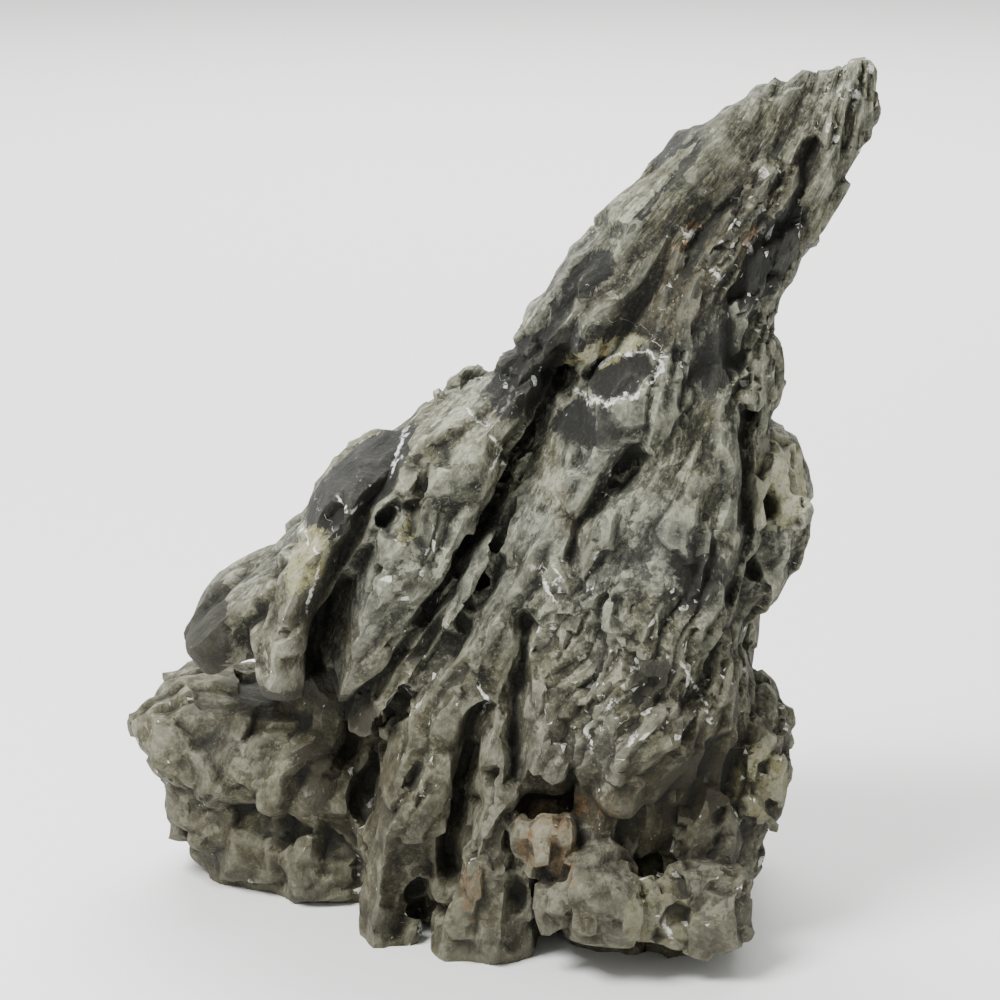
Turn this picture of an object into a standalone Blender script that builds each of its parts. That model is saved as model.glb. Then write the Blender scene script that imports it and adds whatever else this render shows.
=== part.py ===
"""A seiryu stone: one weathered, finely bedded limestone that leans to the right and ends in a thin spire.

The stone is a stack of beds that fan out from a point above its tip. Each bed that stands out is a slab,
a cornered section carried along a path in the plane y = 0, deep in y. A voxel remesh fuses the slabs.
Then flat-faced blocks, relief along the fan and clefts break the skin, and a flat cut gives it a base.
Metres, +Z up, +X to the right of the stone's front, origin at the middle of the base.
"""

import itertools
import math

import bpy
import numpy as np

MM = 0.001

# Overall sizes, in metres
FUSE_VOXEL = 0.0013
TRIANGLES = 9700
CORNERS = 7
BASE_DEPTH = 0.03

# How a slab's faces step along its path: step depth and its lengths on the front and back face, in
# millimetres, and the share of the thickness that its edges step by
STEP_DEPTH = 2.2
STEP_FRONT = 13.0
STEP_BACK = 15.0
STEP_EDGE = 11.0
STEP_THICKNESS = 0.14

# How a slab's corners wander: angle in radians, length along the path in millimetres, and squareness
WANDER_ANGLE = 0.12
WANDER_LENGTH = 26.0
SQUARENESS = 0.6

# Flat-faced blocks of the surface, in millimetres: size across the beds, in depth and along them, the
# longest move and the share of the way to their planes
BLOCK_SIZE = (11.0, 15.0, 20.0)
BLOCK_REACH = 2.0
BLOCK_SHARE = 0.5
BLOCK_SEED = 141
BLOCK_TILT = 0.5
NORMAL_ROUNDS = 7

# Middle of the stone's outline in the frame that the slabs are placed in, in millimetres
CENTRE_X = -3.15
CENTRE_Y = 5.2

# The point that the beds fan out from, and the radius at which their spacing is measured, in millimetres
FAN_X = 84.0
FAN_Z = 230.0
FAN_RADIUS = 120.0

# Noises that bend the beds and shake places: reach, length in millimetres and seed
BED_BENDS = ((5.0, 38.0, 3), (2.0, 15.0, 4))
SHAKES = ((3.0, 14.0, 71), (0.5, 4.0, 75))
CLEFT_SHAKE = (1.6, 9.0, 61)

# The relief's loss towards the tip and on the left beds
TIP_CALM = 0.45
LEFT_CALM = 0.45

# Smooth faces of the front: (x, z, half length, half width) in millimetres, lean in degrees and the share
# of the relief that they take away
SMOOTH_FACES = {
    "spire_face": (40, 176, 26, 9, 47, 0.8),
    "brow_plate": (14, 108, 19, 7, 60, 0.6),
    "second_brow": (33, 102, 15, 7, 62, 0.5),
    "wing_plate": (-5, 121, 12, 8, 50, 0.6),
}

# Relief: height, cell size across the beds, in depth and along them, in millimetres, and seed
FOLDS = (2.6, (12.0, 50.0, 60.0), 21)
FLUTES = (1.6, (6.0, 26.0, 34.0), 31)
LEDGES = (1.6, (7.5, 24.0, 30.0), 41)
BLOCKS = (0.6, (17.0, 17.0, 14.0), 43)
LUMPS_RELIEF = (0.9, 22.0, 51)
RIDGE_MEAN = 0.62

# Stone colour, from its pale olive grey faces
STONE_COLOUR = (0.13, 0.13, 0.11, 1.0)
STONE_ROUGHNESS = 0.82

# Beds and lumps, from the upper end of each to its lower end. A station is
# (x, z, front y, back y, thickness across the bed), in millimetres.
CORE = {
    "core": [
        (73, 195, -4, 8, 10),
        (64, 174, -6, 15, 17),
        (49, 150, -9, 24, 29),
        (36, 126, -13, 34, 46),
        (23, 92, -20, 42, 60),
        (12, 58, -25, 47, 74),
        (11, 24, -26, 48, 86),
        (10, 6, -22, 42, 80),
        (10, -14, -16, 36, 66),
    ],
    "left_heart": [
        (14, 132, -1, 22, 17),
        (0, 115, -3, 26, 22),
        (-14, 99, -5, 32, 25),
        (-26, 82, -6, 34, 27),
        (-36, 66, -4, 34, 23),
        (-40, 50, 0, 40, 28),
        (-34, 30, 2, 44, 40),
    ],
}

SPIRE = {
    "crest": [
        (80.5, 201, -4, 6, 10),
        (76.5, 193, -6, 9, 15),
        (73, 182, -9, 14, 13),
        (67, 168, -11, 18, 14),
        (58.5, 155, -13, 22, 14),
        (52.5, 138, -15, 24, 13),
        (48, 116, -16, 26, 12),
    ],
    "smooth_face": [
        (71, 197.5, -5, 6, 11),
        (61, 188.5, -8, 9, 16),
        (48, 179.5, -12, 12, 18),
        (35, 165, -16, 14, 20),
        (22, 148, -17, 15, 18),
        (6, 133.5, -13, 13, 11),
    ],
    "middle": [
        (69, 188, -9, 12, 10),
        (56, 166, -16, 20, 22),
        (43, 146, -21, 26, 27),
        (31, 126, -25, 30, 26),
        (21, 104, -26, 32, 18),
    ],
}

RIGHT = {
    "flake": [
        (60, 140, -7, 8, 5),
        (60, 132, -9, 10, 7),
        (58, 120, -9, 10, 8),
        (55, 111, -6, 8, 5),
    ],
    "shoulder": [
        (55, 116, -12, 18, 6),
        (62.5, 109, -16, 19, 12.5),
        (65.5, 100, -19, 22, 14.5),
        (62, 89, -21, 20, 14),
        (52, 77, -22, 18, 12),
        (43, 64, -22, 16, 8),
    ],
    "shoulder_back": [
        (57, 112, 12, 34, 10),
        (62, 98, 10, 40, 14),
        (58, 84, 12, 42, 12),
        (47, 66, 12, 42, 10),
    ],
    "hip": [
        (53, 66, -20, 8, 7),
        (52, 57, -25, 12, 12),
        (58, 46, -29, 18, 18),
        (58, 31, -30, 20, 18),
        (50, 12, -28, 16, 16),
        (45, -14, -24, 12, 14),
    ],
    "hip_back": [
        (46, 50, 18, 38, 10),
        (53, 36, 16, 42, 14),
        (54, 20, 14, 44, 16),
        (48, 4, 12, 42, 14),
    ],
}

FRONT = {
    "brow": [
        (50, 138, -19, 10, 14),
        (42, 112, -29, 10, 26),
        (35, 84, -36, 10, 34),
        (29, 56, -40, 8, 36),
        (24, 39, -41, 8, 26),
    ],
    "breast": [
        (34, 132, -19, 10, 12),
        (24, 106, -28, 10, 20),
        (15, 80, -33, 10, 22),
        (10, 56, -36, 10, 20),
        (9, 36, -35, 8, 14),
    ],
    "flank": [
        (26, 132, -17, 12, 10),
        (17, 108, -24, 12, 15),
        (7, 86, -28, 12, 16),
        (-4, 68, -30, 12, 18),
        (-15, 50, -31, 12, 20),
        (-21, 34, -30, 12, 18),
        (-26, 14, -28, 12, 14),
        (-26, -12, -22, 12, 12),
    ],
    "right_face": [
        (54, 124, -14, 15, 9),
        (51, 100, -26, 15, 14),
        (45, 76, -31, 15, 17),
        (45, 52, -34, 15, 20),
        (43, 34, -34, 15, 20),
        (41, 12, -33, 15, 18),
        (40, -14, -28, 15, 16),
    ],
    "toe_left": [
        (3, 62, -33, 10, 8),
        (0, 42, -36, 10, 10),
        (-4, 22, -36, 10, 11),
        (-8, 4, -34, 10, 12),
        (-8, -14, -28, 10, 10),
    ],
    "toe_middle": [
        (6, 38, -30, 10, 7),
        (2, 26, -34, 10, 10),
        (1, 6, -34, 10, 14),
        (0, -14, -28, 10, 14),
    ],
    "apron": [
        (28, 50, -33, 0, 24),
        (30, 34, -32, 0, 32),
        (33, 16, -32, 0, 36),
        (34, -14, -26, 0, 32),
    ],
}

LEFT = {
    "roof": [
        (7, 132, -7, 18, 9),
        (-6, 119.5, -11, 24, 12),
        (-20, 111.5, -14, 34, 13),
        (-34, 101, -15, 40, 15),
        (-42, 93.5, -13, 36, 13),
    ],
    "eave": [
        (-19, 113, -17, 28, 9),
        (-31, 102, -20, 30, 12),
        (-40, 91, -22, 30, 13),
        (-47, 79, -23, 30, 13),
        (-52, 68, -22, 26, 13),
        (-49, 56, -18, 20, 8),
    ],
    "wing": [
        (12, 134, -10, 22, 10),
        (-2, 116, -18, 28, 17),
        (-14, 100, -22, 36, 22),
        (-22, 85, -24, 38, 20),
        (-29, 70, -24, 36, 15),
        (-37, 56, -20, 30, 9),
    ],
    "strip": [
        (-1, 97, -20, 30, 5),
        (-10, 83, -25, 30, 8),
        (-20, 69, -27, 28, 9),
        (-29, 56, -26, 26, 8),
        (-35, 46, -22, 20, 5),
    ],
    "lobe": [
        (-88, 38, 12, 36, 10),
        (-82, 38, 6, 42, 21),
        (-70, 38, 1, 47, 26),
        (-54, 35, -3, 49, 27),
        (-43, 32, -6, 50, 28),
        (-32, 28, -6, 50, 26),
    ],
    "lobe_foot": [
        (-81, 28, 12, 38, 22),
        (-66, 20, 6, 44, 36),
        (-48, 12, 1, 47, 40),
        (-18, 4, -2, 46, 38),
    ],
    "gable": [
        (-33, 94, -12, 30, 12),
        (-45, 83.5, -14, 36, 15),
        (-58, 72, -11, 33, 16),
        (-73, 61, -6, 24, 16),
    ],
}

BACK = {
    "back_left": [
        (42, 150, 6, 32, 14),
        (26, 118, 10, 46, 22),
        (10, 88, 12, 54, 26),
        (-6, 58, 12, 56, 26),
        (-18, 30, 10, 54, 26),
        (-22, 4, 8, 48, 22),
        (-20, -14, 8, 40, 16),
    ],
    "back_middle": [
        (56, 134, 8, 32, 12),
        (46, 96, 10, 50, 22),
        (36, 62, 12, 58, 26),
        (28, 30, 12, 58, 26),
        (24, 4, 10, 52, 24),
        (22, -14, 10, 42, 18),
    ],
    "back_right": [
        (60, 108, 6, 30, 12),
        (53, 76, 8, 36, 13),
        (51, 44, 10, 44, 18),
        (48, 4, 8, 40, 18),
    ],
    "back_wing": [
        (-7, 110, 20, 42, 12),
        (-24, 89, 20, 48, 18),
        (-41, 63, 20, 46, 20),
        (-51, 42, 20, 45, 22),
    ],
}

# Clefts in the front: ((x, z) points from the top down, half width, depth), in millimetres
CLEFTS = {
    "great_cleft": ([(13, 136), (7, 121), (-2, 106), (-8, 90), (-18, 73), (-31, 57), (-36, 40)], 2.6, 9),
    "left_cleft": ([(-16, 124), (-29, 107), (-36, 91), (-41, 76), (-43, 60)], 2.5, 9),
    "brow_cleft": ([(29, 116), (22, 109), (17, 102), (15, 94)], 2.2, 6),
    "breast_cleft": ([(6, 78), (4, 62), (1, 44)], 2.2, 8),
    "toe_cleft": ([(-5, 58), (-8, 42), (-12, 20)], 2.2, 8),
    "spire_cleft": ([(68, 182), (65, 168), (53, 158), (49, 148), (51, 132)], 1.8, 3.5),
    "shoulder_cleft": ([(54, 122), (55, 100), (49, 74), (42, 62)], 2.2, 6),
    "eave_gouge": ([(-50, 83), (-55, 66)], 2, 4),
    "hollow": ([(3, 38), (14, 41)], 3, 2.5),
}

# Lumps at the foot: (x, y, z, radius)
LUMPS = {
    "lump_left": (19, -38, 18, 10),
    "lump_middle": (31, -40, 16, 9),
    "lump_right": (45, -39, 15, 11),
    "nodule": (10, -37, 31, 6.5),
}


def clear_scene():
    """Removes what the scene already holds."""
    for old in list(bpy.data.objects):
        bpy.data.objects.remove(old, do_unlink=True)


def new_collection(name):
    """A collection linked to the scene."""
    made = bpy.data.collections.new(name)
    bpy.context.scene.collection.children.link(made)
    return made


def ramp(value, low, high):
    """0 at low, 1 at high and straight between."""
    return np.clip((value - low) / (high - low), 0.0, 1.0)


def stepped(place, seed):
    """Values from -1 to 1 that hold for a stretch and then jump, as a broken edge does."""
    cell = np.floor(place)
    part = ramp(place - cell, 0.8, 1.0)
    here = lattice(np.stack([cell, 0.0 * cell, 0.0 * cell], axis=-1), seed)
    there = lattice(np.stack([cell + 1.0, 0.0 * cell, 0.0 * cell], axis=-1), seed)
    return 2.0 * (here + (there - here) * part) - 1.0


def section_outline(place, seed, ring):
    """Outline of a slab's section at each place: shares of half its thickness and of half its depth."""
    number = np.arange(CORNERS)
    chance = lattice(np.stack([number] * 3, axis=-1), seed + 5) - 0.5
    tracks = [np.stack([place / WANDER_LENGTH, 0 * place + 5.0 * k, 0 * place], axis=-1) for k in number]
    wander = np.stack([smooth_noise(track, seed) for track in tracks], axis=1)
    angle = 2.0 * np.pi * (number + 0.5 * chance)[None, :] / CORNERS + WANDER_ANGLE * wander
    side = np.sign(np.cos(angle)) * np.abs(np.cos(angle)) ** SQUARENESS
    deep = np.sign(np.sin(angle)) * np.abs(np.sin(angle)) ** SQUARENESS
    spot = np.arange(ring) * CORNERS / ring
    first = np.floor(spot).astype(int)
    second = (first + 1) % CORNERS
    part = spot - first
    return (
        side[:, first] * (1.0 - part) + side[:, second] * part,
        deep[:, first] * (1.0 - part) + deep[:, second] * part,
    )


def slab_points(stations, seed, rows, ring):
    """Points of one slab: cornered sections along its path, drawn in at both ends."""
    values = np.array(stations, dtype=float)
    steps = np.hypot(np.diff(values[:, 0]), np.diff(values[:, 1]))
    length = np.concatenate([[0.0], np.cumsum(steps)])
    turn = np.linspace(0.0, np.pi, rows)
    place = length[-1] * (0.5 - 0.5 * np.cos(turn))
    x, z, front, back, thick = (np.interp(place, length, values[:, k]) for k in range(5))
    front = front + STEP_DEPTH * stepped(place / STEP_FRONT, seed)
    back = back + STEP_DEPTH * stepped(place / STEP_BACK, seed + 1)
    thick = thick * (1.0 + STEP_THICKNESS * stepped(place / STEP_EDGE, seed + 2))
    full = np.maximum((1.0 - np.abs(np.cos(turn)) ** 14) ** (1.0 / 2.4), 0.02)
    dx, dz = np.gradient(x), np.gradient(z)
    size = np.hypot(dx, dz)
    side, deep = section_outline(place, seed, ring)
    offset = 0.5 * thick[:, None] * full[:, None] * side
    middle = 0.5 * (front + back)
    half = 0.5 * (back - front) * full
    return np.stack(
        [
            x[:, None] - (dz / size)[:, None] * offset,
            middle[:, None] + half[:, None] * deep,
            z[:, None] + (dx / size)[:, None] * offset,
        ],
        axis=-1,
    )


def grid_faces(rows, ring, start):
    """Quads between neighbouring sections and one cap at each end, counted from vertex start."""
    faces = []
    for row in range(rows - 1):
        for k in range(ring):
            a = start + row * ring + k
            b = start + row * ring + (k + 1) % ring
            faces.append((a, b, b + ring, a + ring))
    faces.append(tuple(start + k for k in reversed(range(ring))))
    faces.append(tuple(start + (rows - 1) * ring + k for k in range(ring)))
    return faces


def ball_points(centre, radius, rows, ring):
    """Points of a slightly flattened ball, on the same kind of grid as a slab."""
    x, y, z = centre
    polar = np.linspace(0.03, np.pi - 0.03, rows)[:, None]
    theta = np.linspace(0.0, 2.0 * np.pi, ring, endpoint=False)[None, :]
    return np.stack(
        [
            x + radius * np.sin(polar) * np.cos(theta),
            y - radius * np.sin(polar) * np.sin(theta),
            z + radius * np.cos(polar) + 0.0 * theta,
        ],
        axis=-1,
    )


def lattice(cells, seed):
    """Random numbers 0 to 1, one for each whole-numbered cell."""
    x, y, z = (cells[..., k].astype(np.int64) for k in range(3))
    mixed = (x * 374761393 + y * 668265263 + z * 1442695041 + seed * 1274126177) & 0xFFFFFFFF
    mixed = ((mixed ^ (mixed >> 13)) * 1274126177) & 0xFFFFFFFF
    mixed = ((mixed ^ (mixed >> 16)) * 668265263) & 0xFFFFFFFF
    return ((mixed ^ (mixed >> 15)) & 0xFFFFFF) / float(0x1000000)


def smooth_noise(points, seed):
    """Value noise from -1 to 1."""
    low = np.floor(points)
    part = points - low
    part = part * part * part * (part * (part * 6.0 - 15.0) + 10.0)
    total = np.zeros(points.shape[:-1])
    for corner in itertools.product((0, 1), repeat=3):
        weight = np.prod(np.where(np.array(corner) == 1, part, 1.0 - part), axis=-1)
        total += weight * lattice(low + corner, seed)
    return 2.0 * total - 1.0


def layered_noise(points, seed, octaves):
    """A sum of finer and weaker noises."""
    total = np.zeros(points.shape[:-1])
    weight, whole = 1.0, 0.0
    for octave in range(octaves):
        total += weight * smooth_noise(points * 2.03**octave + 17.3 * octave, seed + octave)
        whole += weight
        weight *= 0.5
    return total / whole


def shaken(points, reach, length, seed):
    """Places moved by three noises of this reach and length."""
    moves = [smooth_noise(points / length, seed + k) for k in range(3)]
    return points + reach * np.stack(moves, axis=-1)


def ridged_noise(points, seed):
    """Noise with sharp crests at 1 and rounded troughs at 0."""
    return 1.0 - np.abs(smooth_noise(points, seed)) ** 0.8


def nearest_cell(points, seed):
    """The cell whose random point lies nearest to each place, and the way from that point."""
    low = np.floor(points)
    nearest = np.full(points.shape[:-1], 1e9)
    found = np.zeros(points.shape)
    way = np.zeros(points.shape)
    for step in itertools.product((-1, 0, 1), repeat=3):
        cell = low + step
        centre = np.stack([cell[..., k] + lattice(cell, seed + 11 * k) for k in range(3)], axis=-1)
        away = points - centre
        distance = np.sum(away * away, axis=-1)
        closer = distance < nearest
        nearest = np.where(closer, distance, nearest)
        found[closer] = cell[closer]
        way[closer] = away[closer]
    return found, way


def flakes(points, seed):
    """Broken facets: each cell has a height and a tilt of its own, with a step at its border."""
    cell, away = nearest_cell(points, seed)
    tilt = np.stack([2.0 * lattice(cell, seed + 50 + k) - 1.0 for k in range(3)], axis=-1)
    return 2.0 * lattice(cell, seed + 90) - 1.0 + 1.1 * np.sum(away * tilt, axis=-1)


def broken_beds(points, seed):
    """Beds of uneven thickness, each broken into lengths of its own height, with a groove between beds."""
    track = np.stack([points[..., 0] * 0.6, 0.25 * points[..., 1], 0.25 * points[..., 2]], axis=-1)
    across = points[..., 0] + 0.55 * smooth_noise(track, seed + 1)
    bed = np.floor(across)
    number = np.stack([bed, 0.0 * bed, 0.0 * bed], axis=-1)
    deep = np.floor(points[..., 1] + 5.0 * lattice(number, seed + 2))
    length = np.floor(points[..., 2] + 5.0 * lattice(number + 3.0, seed + 3) + 0.5 * deep)
    block = np.stack([bed, deep, length], axis=-1)
    part = across - bed
    lean = (2.0 * lattice(block, seed + 4) - 1.0) * (part - 0.5)
    groove = np.exp(-((np.minimum(part, 1.0 - part) / 0.13) ** 2))
    return 2.0 * lattice(block, seed) - 1.0 + lean - 0.7 * groove


def bed_coordinates(points):
    """Distance across the beds, depth, and distance along the beds, from the fan's point."""
    dx = FAN_X - points[..., 0]
    dz = FAN_Z - points[..., 2]
    along = np.hypot(dx, dz)
    bend = sum(reach * smooth_noise(points / length, seed) for reach, length, seed in BED_BENDS)
    across = np.arctan2(dz, dx) * FAN_RADIUS + bend
    return np.stack([across, points[..., 1], along], axis=-1)


def smooth_face(points, face):
    """Share of a smooth face at each place: 1 in its middle and 0 outside it and behind the front."""
    middle_x, middle_z, length, width, lean, strength = face
    turn = math.radians(lean)
    x, z = points[..., 0] - middle_x, points[..., 2] - middle_z
    along = x * math.cos(turn) + z * math.sin(turn)
    across = z * math.cos(turn) - x * math.sin(turn)
    front = ramp(points[..., 1], 4.0, -4.0)
    return strength * np.exp(-((along / length) ** 4) - ((across / width) ** 4)) * front


def calm(points):
    """Share of the relief that is left: less on the smooth faces, the left beds and the tip."""
    x, z = points[..., 0], points[..., 2]
    high = ramp(z, 140.0, 200.0)
    left = ramp(-0.6 * x - 0.2 * z, -20.0, 4.0) * ramp(z, 40.0, 60.0)
    made = (1.0 - TIP_CALM * high) * (1.0 - LEFT_CALM * left)
    for face in SMOOTH_FACES.values():
        made = made * (1.0 - smooth_face(points, face))
    return made


def path_distance(points, path):
    """Distance in the plane y = 0 from each point to a path of (x, z) corners."""
    flat = points[..., (0, 2)]
    nearest = np.full(flat.shape[:-1], 1e9)
    for start, end in zip(path[:-1], path[1:]):
        start = np.array(start, dtype=float)
        run = np.array(end, dtype=float) - start
        share = np.clip(((flat - start) @ run) / (run @ run), 0.0, 1.0)
        away = flat - start - share[..., None] * run
        nearest = np.minimum(nearest, np.hypot(away[..., 0], away[..., 1]))
    return nearest


def cleft_depth(points):
    """Depth of the clefts on the side that faces the front, as rounded grooves along wandering paths."""
    bent = shaken(points, *CLEFT_SHAKE)
    front = ramp(points[..., 1], 6.0, -2.0)
    deepest = np.zeros(points.shape[:-1])
    for path, half_width, depth in CLEFTS.values():
        groove = depth * np.exp(-((path_distance(bent, path) / half_width) ** 2))
        deepest = np.maximum(deepest, groove)
    return deepest * front


def bent_places(points):
    """Places shaken by noise, so that no border of a bed or a block runs straight."""
    made = points
    for shake in SHAKES:
        made = made + shaken(points, *shake) - points
    return made


def open_share(points):
    """Share of the relief that is left outside the clefts."""
    return calm(points) * ramp(cleft_depth(points), 2.5, 0.3)


def ridges(beds, kind):
    """Height of sharp-crested ridges along the beds."""
    height, size, seed = kind
    return height * (ridged_noise(beds / size, seed) - RIDGE_MEAN)


def relief(points):
    """Height of the relief in millimetres: folds, flutes, broken beds, blocks and lumps."""
    bent = bent_places(points)
    beds = bed_coordinates(bent)
    made = ridges(beds, FOLDS) + ridges(beds, FLUTES)
    made += LEDGES[0] * broken_beds(beds / LEDGES[1], LEDGES[2])
    made += BLOCKS[0] * flakes(bent / BLOCKS[1], BLOCKS[2])
    made += LUMPS_RELIEF[0] * layered_noise(points / LUMPS_RELIEF[1], LUMPS_RELIEF[2], 3)
    return open_share(points) * made


def block_numbers(points, normals):
    """Number of the block that each place belongs to, by its cell among the beds and the way it faces."""
    cell, _ = nearest_cell(bed_coordinates(bent_places(points)) / BLOCK_SIZE, BLOCK_SEED)
    way = np.argmax(np.abs(normals), axis=-1)
    way = 2 * way + (np.take_along_axis(normals, way[:, None], axis=-1)[:, 0] > 0.0)
    code = ((cell[:, 0] * 1009 + cell[:, 1]) * 1009 + cell[:, 2]) * 8 + way
    _, first, block = np.unique(code, return_index=True, return_inverse=True)
    return block, cell[first]


def block_moves(points, normals):
    """Moves along the normals that flatten each block onto a tilted plane through its middle."""
    block, cell = block_numbers(points, normals)
    count = np.bincount(block)
    middle = np.stack([np.bincount(block, column) / count for column in points.T], axis=-1)
    plane = np.stack([np.bincount(block, column) / count for column in normals.T], axis=-1)
    tilt = np.stack([lattice(cell, BLOCK_SEED + 60 + k) - 0.5 for k in range(3)], axis=-1)
    plane = plane / np.linalg.norm(plane, axis=-1, keepdims=True) + BLOCK_TILT * tilt
    plane = plane / np.linalg.norm(plane, axis=-1, keepdims=True)
    gap = np.sum((middle[block] - points) * plane[block], axis=-1)
    move = gap / np.maximum(np.sum(normals * plane[block], axis=-1), 0.5)
    return np.clip(BLOCK_SHARE * move, -BLOCK_REACH, BLOCK_REACH)


def joined_slabs(name, rows, ring):
    """One mesh that holds every slab and lump."""
    points, faces, count = [], [], 0
    for group in (CORE, SPIRE, RIGHT, FRONT, LEFT, BACK):
        for stations in group.values():
            points.append(slab_points(stations, 100 + 7 * len(points), rows, ring).reshape(-1, 3))
            faces += grid_faces(rows, ring, count)
            count += rows * ring
    for x, y, z, radius in LUMPS.values():
        points.append(ball_points((x, y, z), radius, rows, ring).reshape(-1, 3))
        faces += grid_faces(rows, ring, count)
        count += rows * ring
    mesh = bpy.data.meshes.new(name)
    mesh.from_pydata((np.concatenate(points) * MM).tolist(), [], faces)
    mesh.validate()
    return mesh


def evaluated(made):
    """A new mesh with the object's modifiers applied."""
    bpy.context.view_layer.update()
    return bpy.data.meshes.new_from_object(made.evaluated_get(bpy.context.evaluated_depsgraph_get()))


def apply_modifiers(made):
    """Replaces the object's mesh with its modified one."""
    old = made.data
    made.data = evaluated(made)
    made.modifiers.clear()
    bpy.data.meshes.remove(old)


def fuse(made, voxel):
    """Joins what overlaps into one closed skin."""
    remesh = made.modifiers.new("fuse", "REMESH")
    remesh.mode = "VOXEL"
    remesh.voxel_size = voxel
    apply_modifiers(made)


def read_vertices(mesh, what):
    """Places (co) or normals of a mesh's vertices."""
    values = np.empty(len(mesh.vertices) * 3)
    mesh.vertices.foreach_get(what, values)
    return values.reshape(-1, 3)


def move_vertices(mesh, moves):
    """Adds a move, in millimetres, to each vertex."""
    mesh.vertices.foreach_set("co", (read_vertices(mesh, "co") + moves * MM).ravel())
    mesh.update()


def smoothed_normals(mesh):
    """Vertex normals averaged with their neighbours' a few times."""
    ends = np.empty(len(mesh.edges) * 2, dtype=np.int64)
    mesh.edges.foreach_get("vertices", ends)
    start, end = ends.reshape(-1, 2).T
    size = len(mesh.vertices)
    count = np.maximum(np.bincount(start, minlength=size) + np.bincount(end, minlength=size), 1)
    normals = read_vertices(mesh, "normal")
    for _ in range(NORMAL_ROUNDS):
        for column in normals.T:
            total = np.bincount(start, column[end], size) + np.bincount(end, column[start], size)
            column[:] = 0.5 * (column + total / count)
    return normals / np.maximum(np.linalg.norm(normals, axis=-1, keepdims=True), 0.1)


def flatten_blocks(mesh):
    """Breaks the skin into flat-faced blocks."""
    points = read_vertices(mesh, "co") / MM
    above = ramp(points[:, 2], 0.3, 3.0)
    heights = block_moves(points, smoothed_normals(mesh)) * open_share(points) * above
    move_vertices(mesh, read_vertices(mesh, "normal") * heights[:, None])


def add_relief(mesh):
    """Moves every vertex along its normal by the relief."""
    heights = relief(read_vertices(mesh, "co") / MM)
    move_vertices(mesh, read_vertices(mesh, "normal") * heights[:, None])


def sink_clefts(mesh):
    """Moves the front straight back along the clefts."""
    facing = ramp(read_vertices(mesh, "normal")[:, 1], 0.2, -0.3)
    depths = cleft_depth(read_vertices(mesh, "co") / MM) * facing
    move_vertices(mesh, depths[:, None] * np.array([0.0, 1.0, 0.0]))


def thin_out(made, triangles):
    """Leaves about this many triangles, the most where the form turns most."""
    made.data.calc_loop_triangles()
    thin = made.modifiers.new("thin", "DECIMATE")
    thin.ratio = triangles / len(made.data.loop_triangles)
    thin.use_collapse_triangulate = True
    apply_modifiers(made)


def cut_base(made, cutters):
    """Cuts the underside flat at z = 0."""
    bpy.ops.mesh.primitive_cube_add(size=1.0, location=(0.0, 0.0, -BASE_DEPTH / 2.0))
    ground = bpy.context.active_object
    ground.name = "ground_cutter"
    ground.dimensions = (0.5, 0.5, BASE_DEPTH)
    bpy.ops.object.transform_apply(location=False, rotation=False, scale=True)
    ground.hide_render = True
    ground.display_type = "WIRE"
    for home in ground.users_collection:
        home.objects.unlink(ground)
    cutters.objects.link(ground)
    cut = made.modifiers.new("flat_base", "BOOLEAN")
    cut.operation = "DIFFERENCE"
    cut.object = ground
    cut.solver = "EXACT"


def stone_material():
    """Weathered olive grey limestone."""
    made = bpy.data.materials.new("stone")
    made.use_nodes = True
    shader = made.node_tree.nodes["Principled BSDF"]
    shader.inputs["Base Color"].default_value = STONE_COLOUR
    shader.inputs["Roughness"].default_value = STONE_ROUGHNESS
    shader.inputs["Metallic"].default_value = 0.0
    return made


def main():
    """Builds the stone."""
    clear_scene()
    parts = new_collection("seiryu_stone")
    cutters = new_collection("cutters")
    stone = bpy.data.objects.new("stone", joined_slabs("stone", rows=60, ring=42))
    parts.objects.link(stone)
    fuse(stone, FUSE_VOXEL)
    flatten_blocks(stone.data)
    add_relief(stone.data)
    sink_clefts(stone.data)
    fuse(stone, FUSE_VOXEL)
    thin_out(stone, TRIANGLES)
    cut_base(stone, cutters)
    stone.location = (-CENTRE_X * MM, -CENTRE_Y * MM, 0.0)
    stone.data.materials.clear()
    stone.data.materials.append(stone_material())


main()
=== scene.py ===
"""The looks of a leaning seiryu stone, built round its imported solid.

The stone is a stack of beds that fan out from a point above its tip. Each bed that stands out is a slab,
a cornered section carried along a path, worked out with numpy. A voxel remesh fuses the slabs, and relief
along the same fan breaks their faces into folds, ledges, flakes, pits and clefts. The finish is a
procedural limestone that follows the beds. Sizes are in millimetres until a mesh is made, and in metres
in Blender.
"""

from __future__ import annotations

import itertools
import logging
import math
from dataclasses import dataclass, fields
from enum import Enum

import bpy
import numpy as np
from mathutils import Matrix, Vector

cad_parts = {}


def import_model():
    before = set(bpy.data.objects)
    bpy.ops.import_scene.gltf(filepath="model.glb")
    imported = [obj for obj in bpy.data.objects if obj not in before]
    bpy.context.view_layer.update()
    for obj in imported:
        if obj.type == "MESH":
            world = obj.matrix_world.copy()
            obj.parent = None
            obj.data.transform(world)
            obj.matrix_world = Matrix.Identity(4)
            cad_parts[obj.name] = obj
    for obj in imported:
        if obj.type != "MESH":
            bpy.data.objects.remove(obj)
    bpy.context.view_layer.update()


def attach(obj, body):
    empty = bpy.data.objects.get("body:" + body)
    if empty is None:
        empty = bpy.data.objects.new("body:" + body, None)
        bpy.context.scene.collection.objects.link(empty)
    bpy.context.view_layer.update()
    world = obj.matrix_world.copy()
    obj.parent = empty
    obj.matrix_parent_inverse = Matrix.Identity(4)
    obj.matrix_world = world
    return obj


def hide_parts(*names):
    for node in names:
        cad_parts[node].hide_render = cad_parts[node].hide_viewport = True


LOG = logging.getLogger("seiryu_stone")

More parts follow.
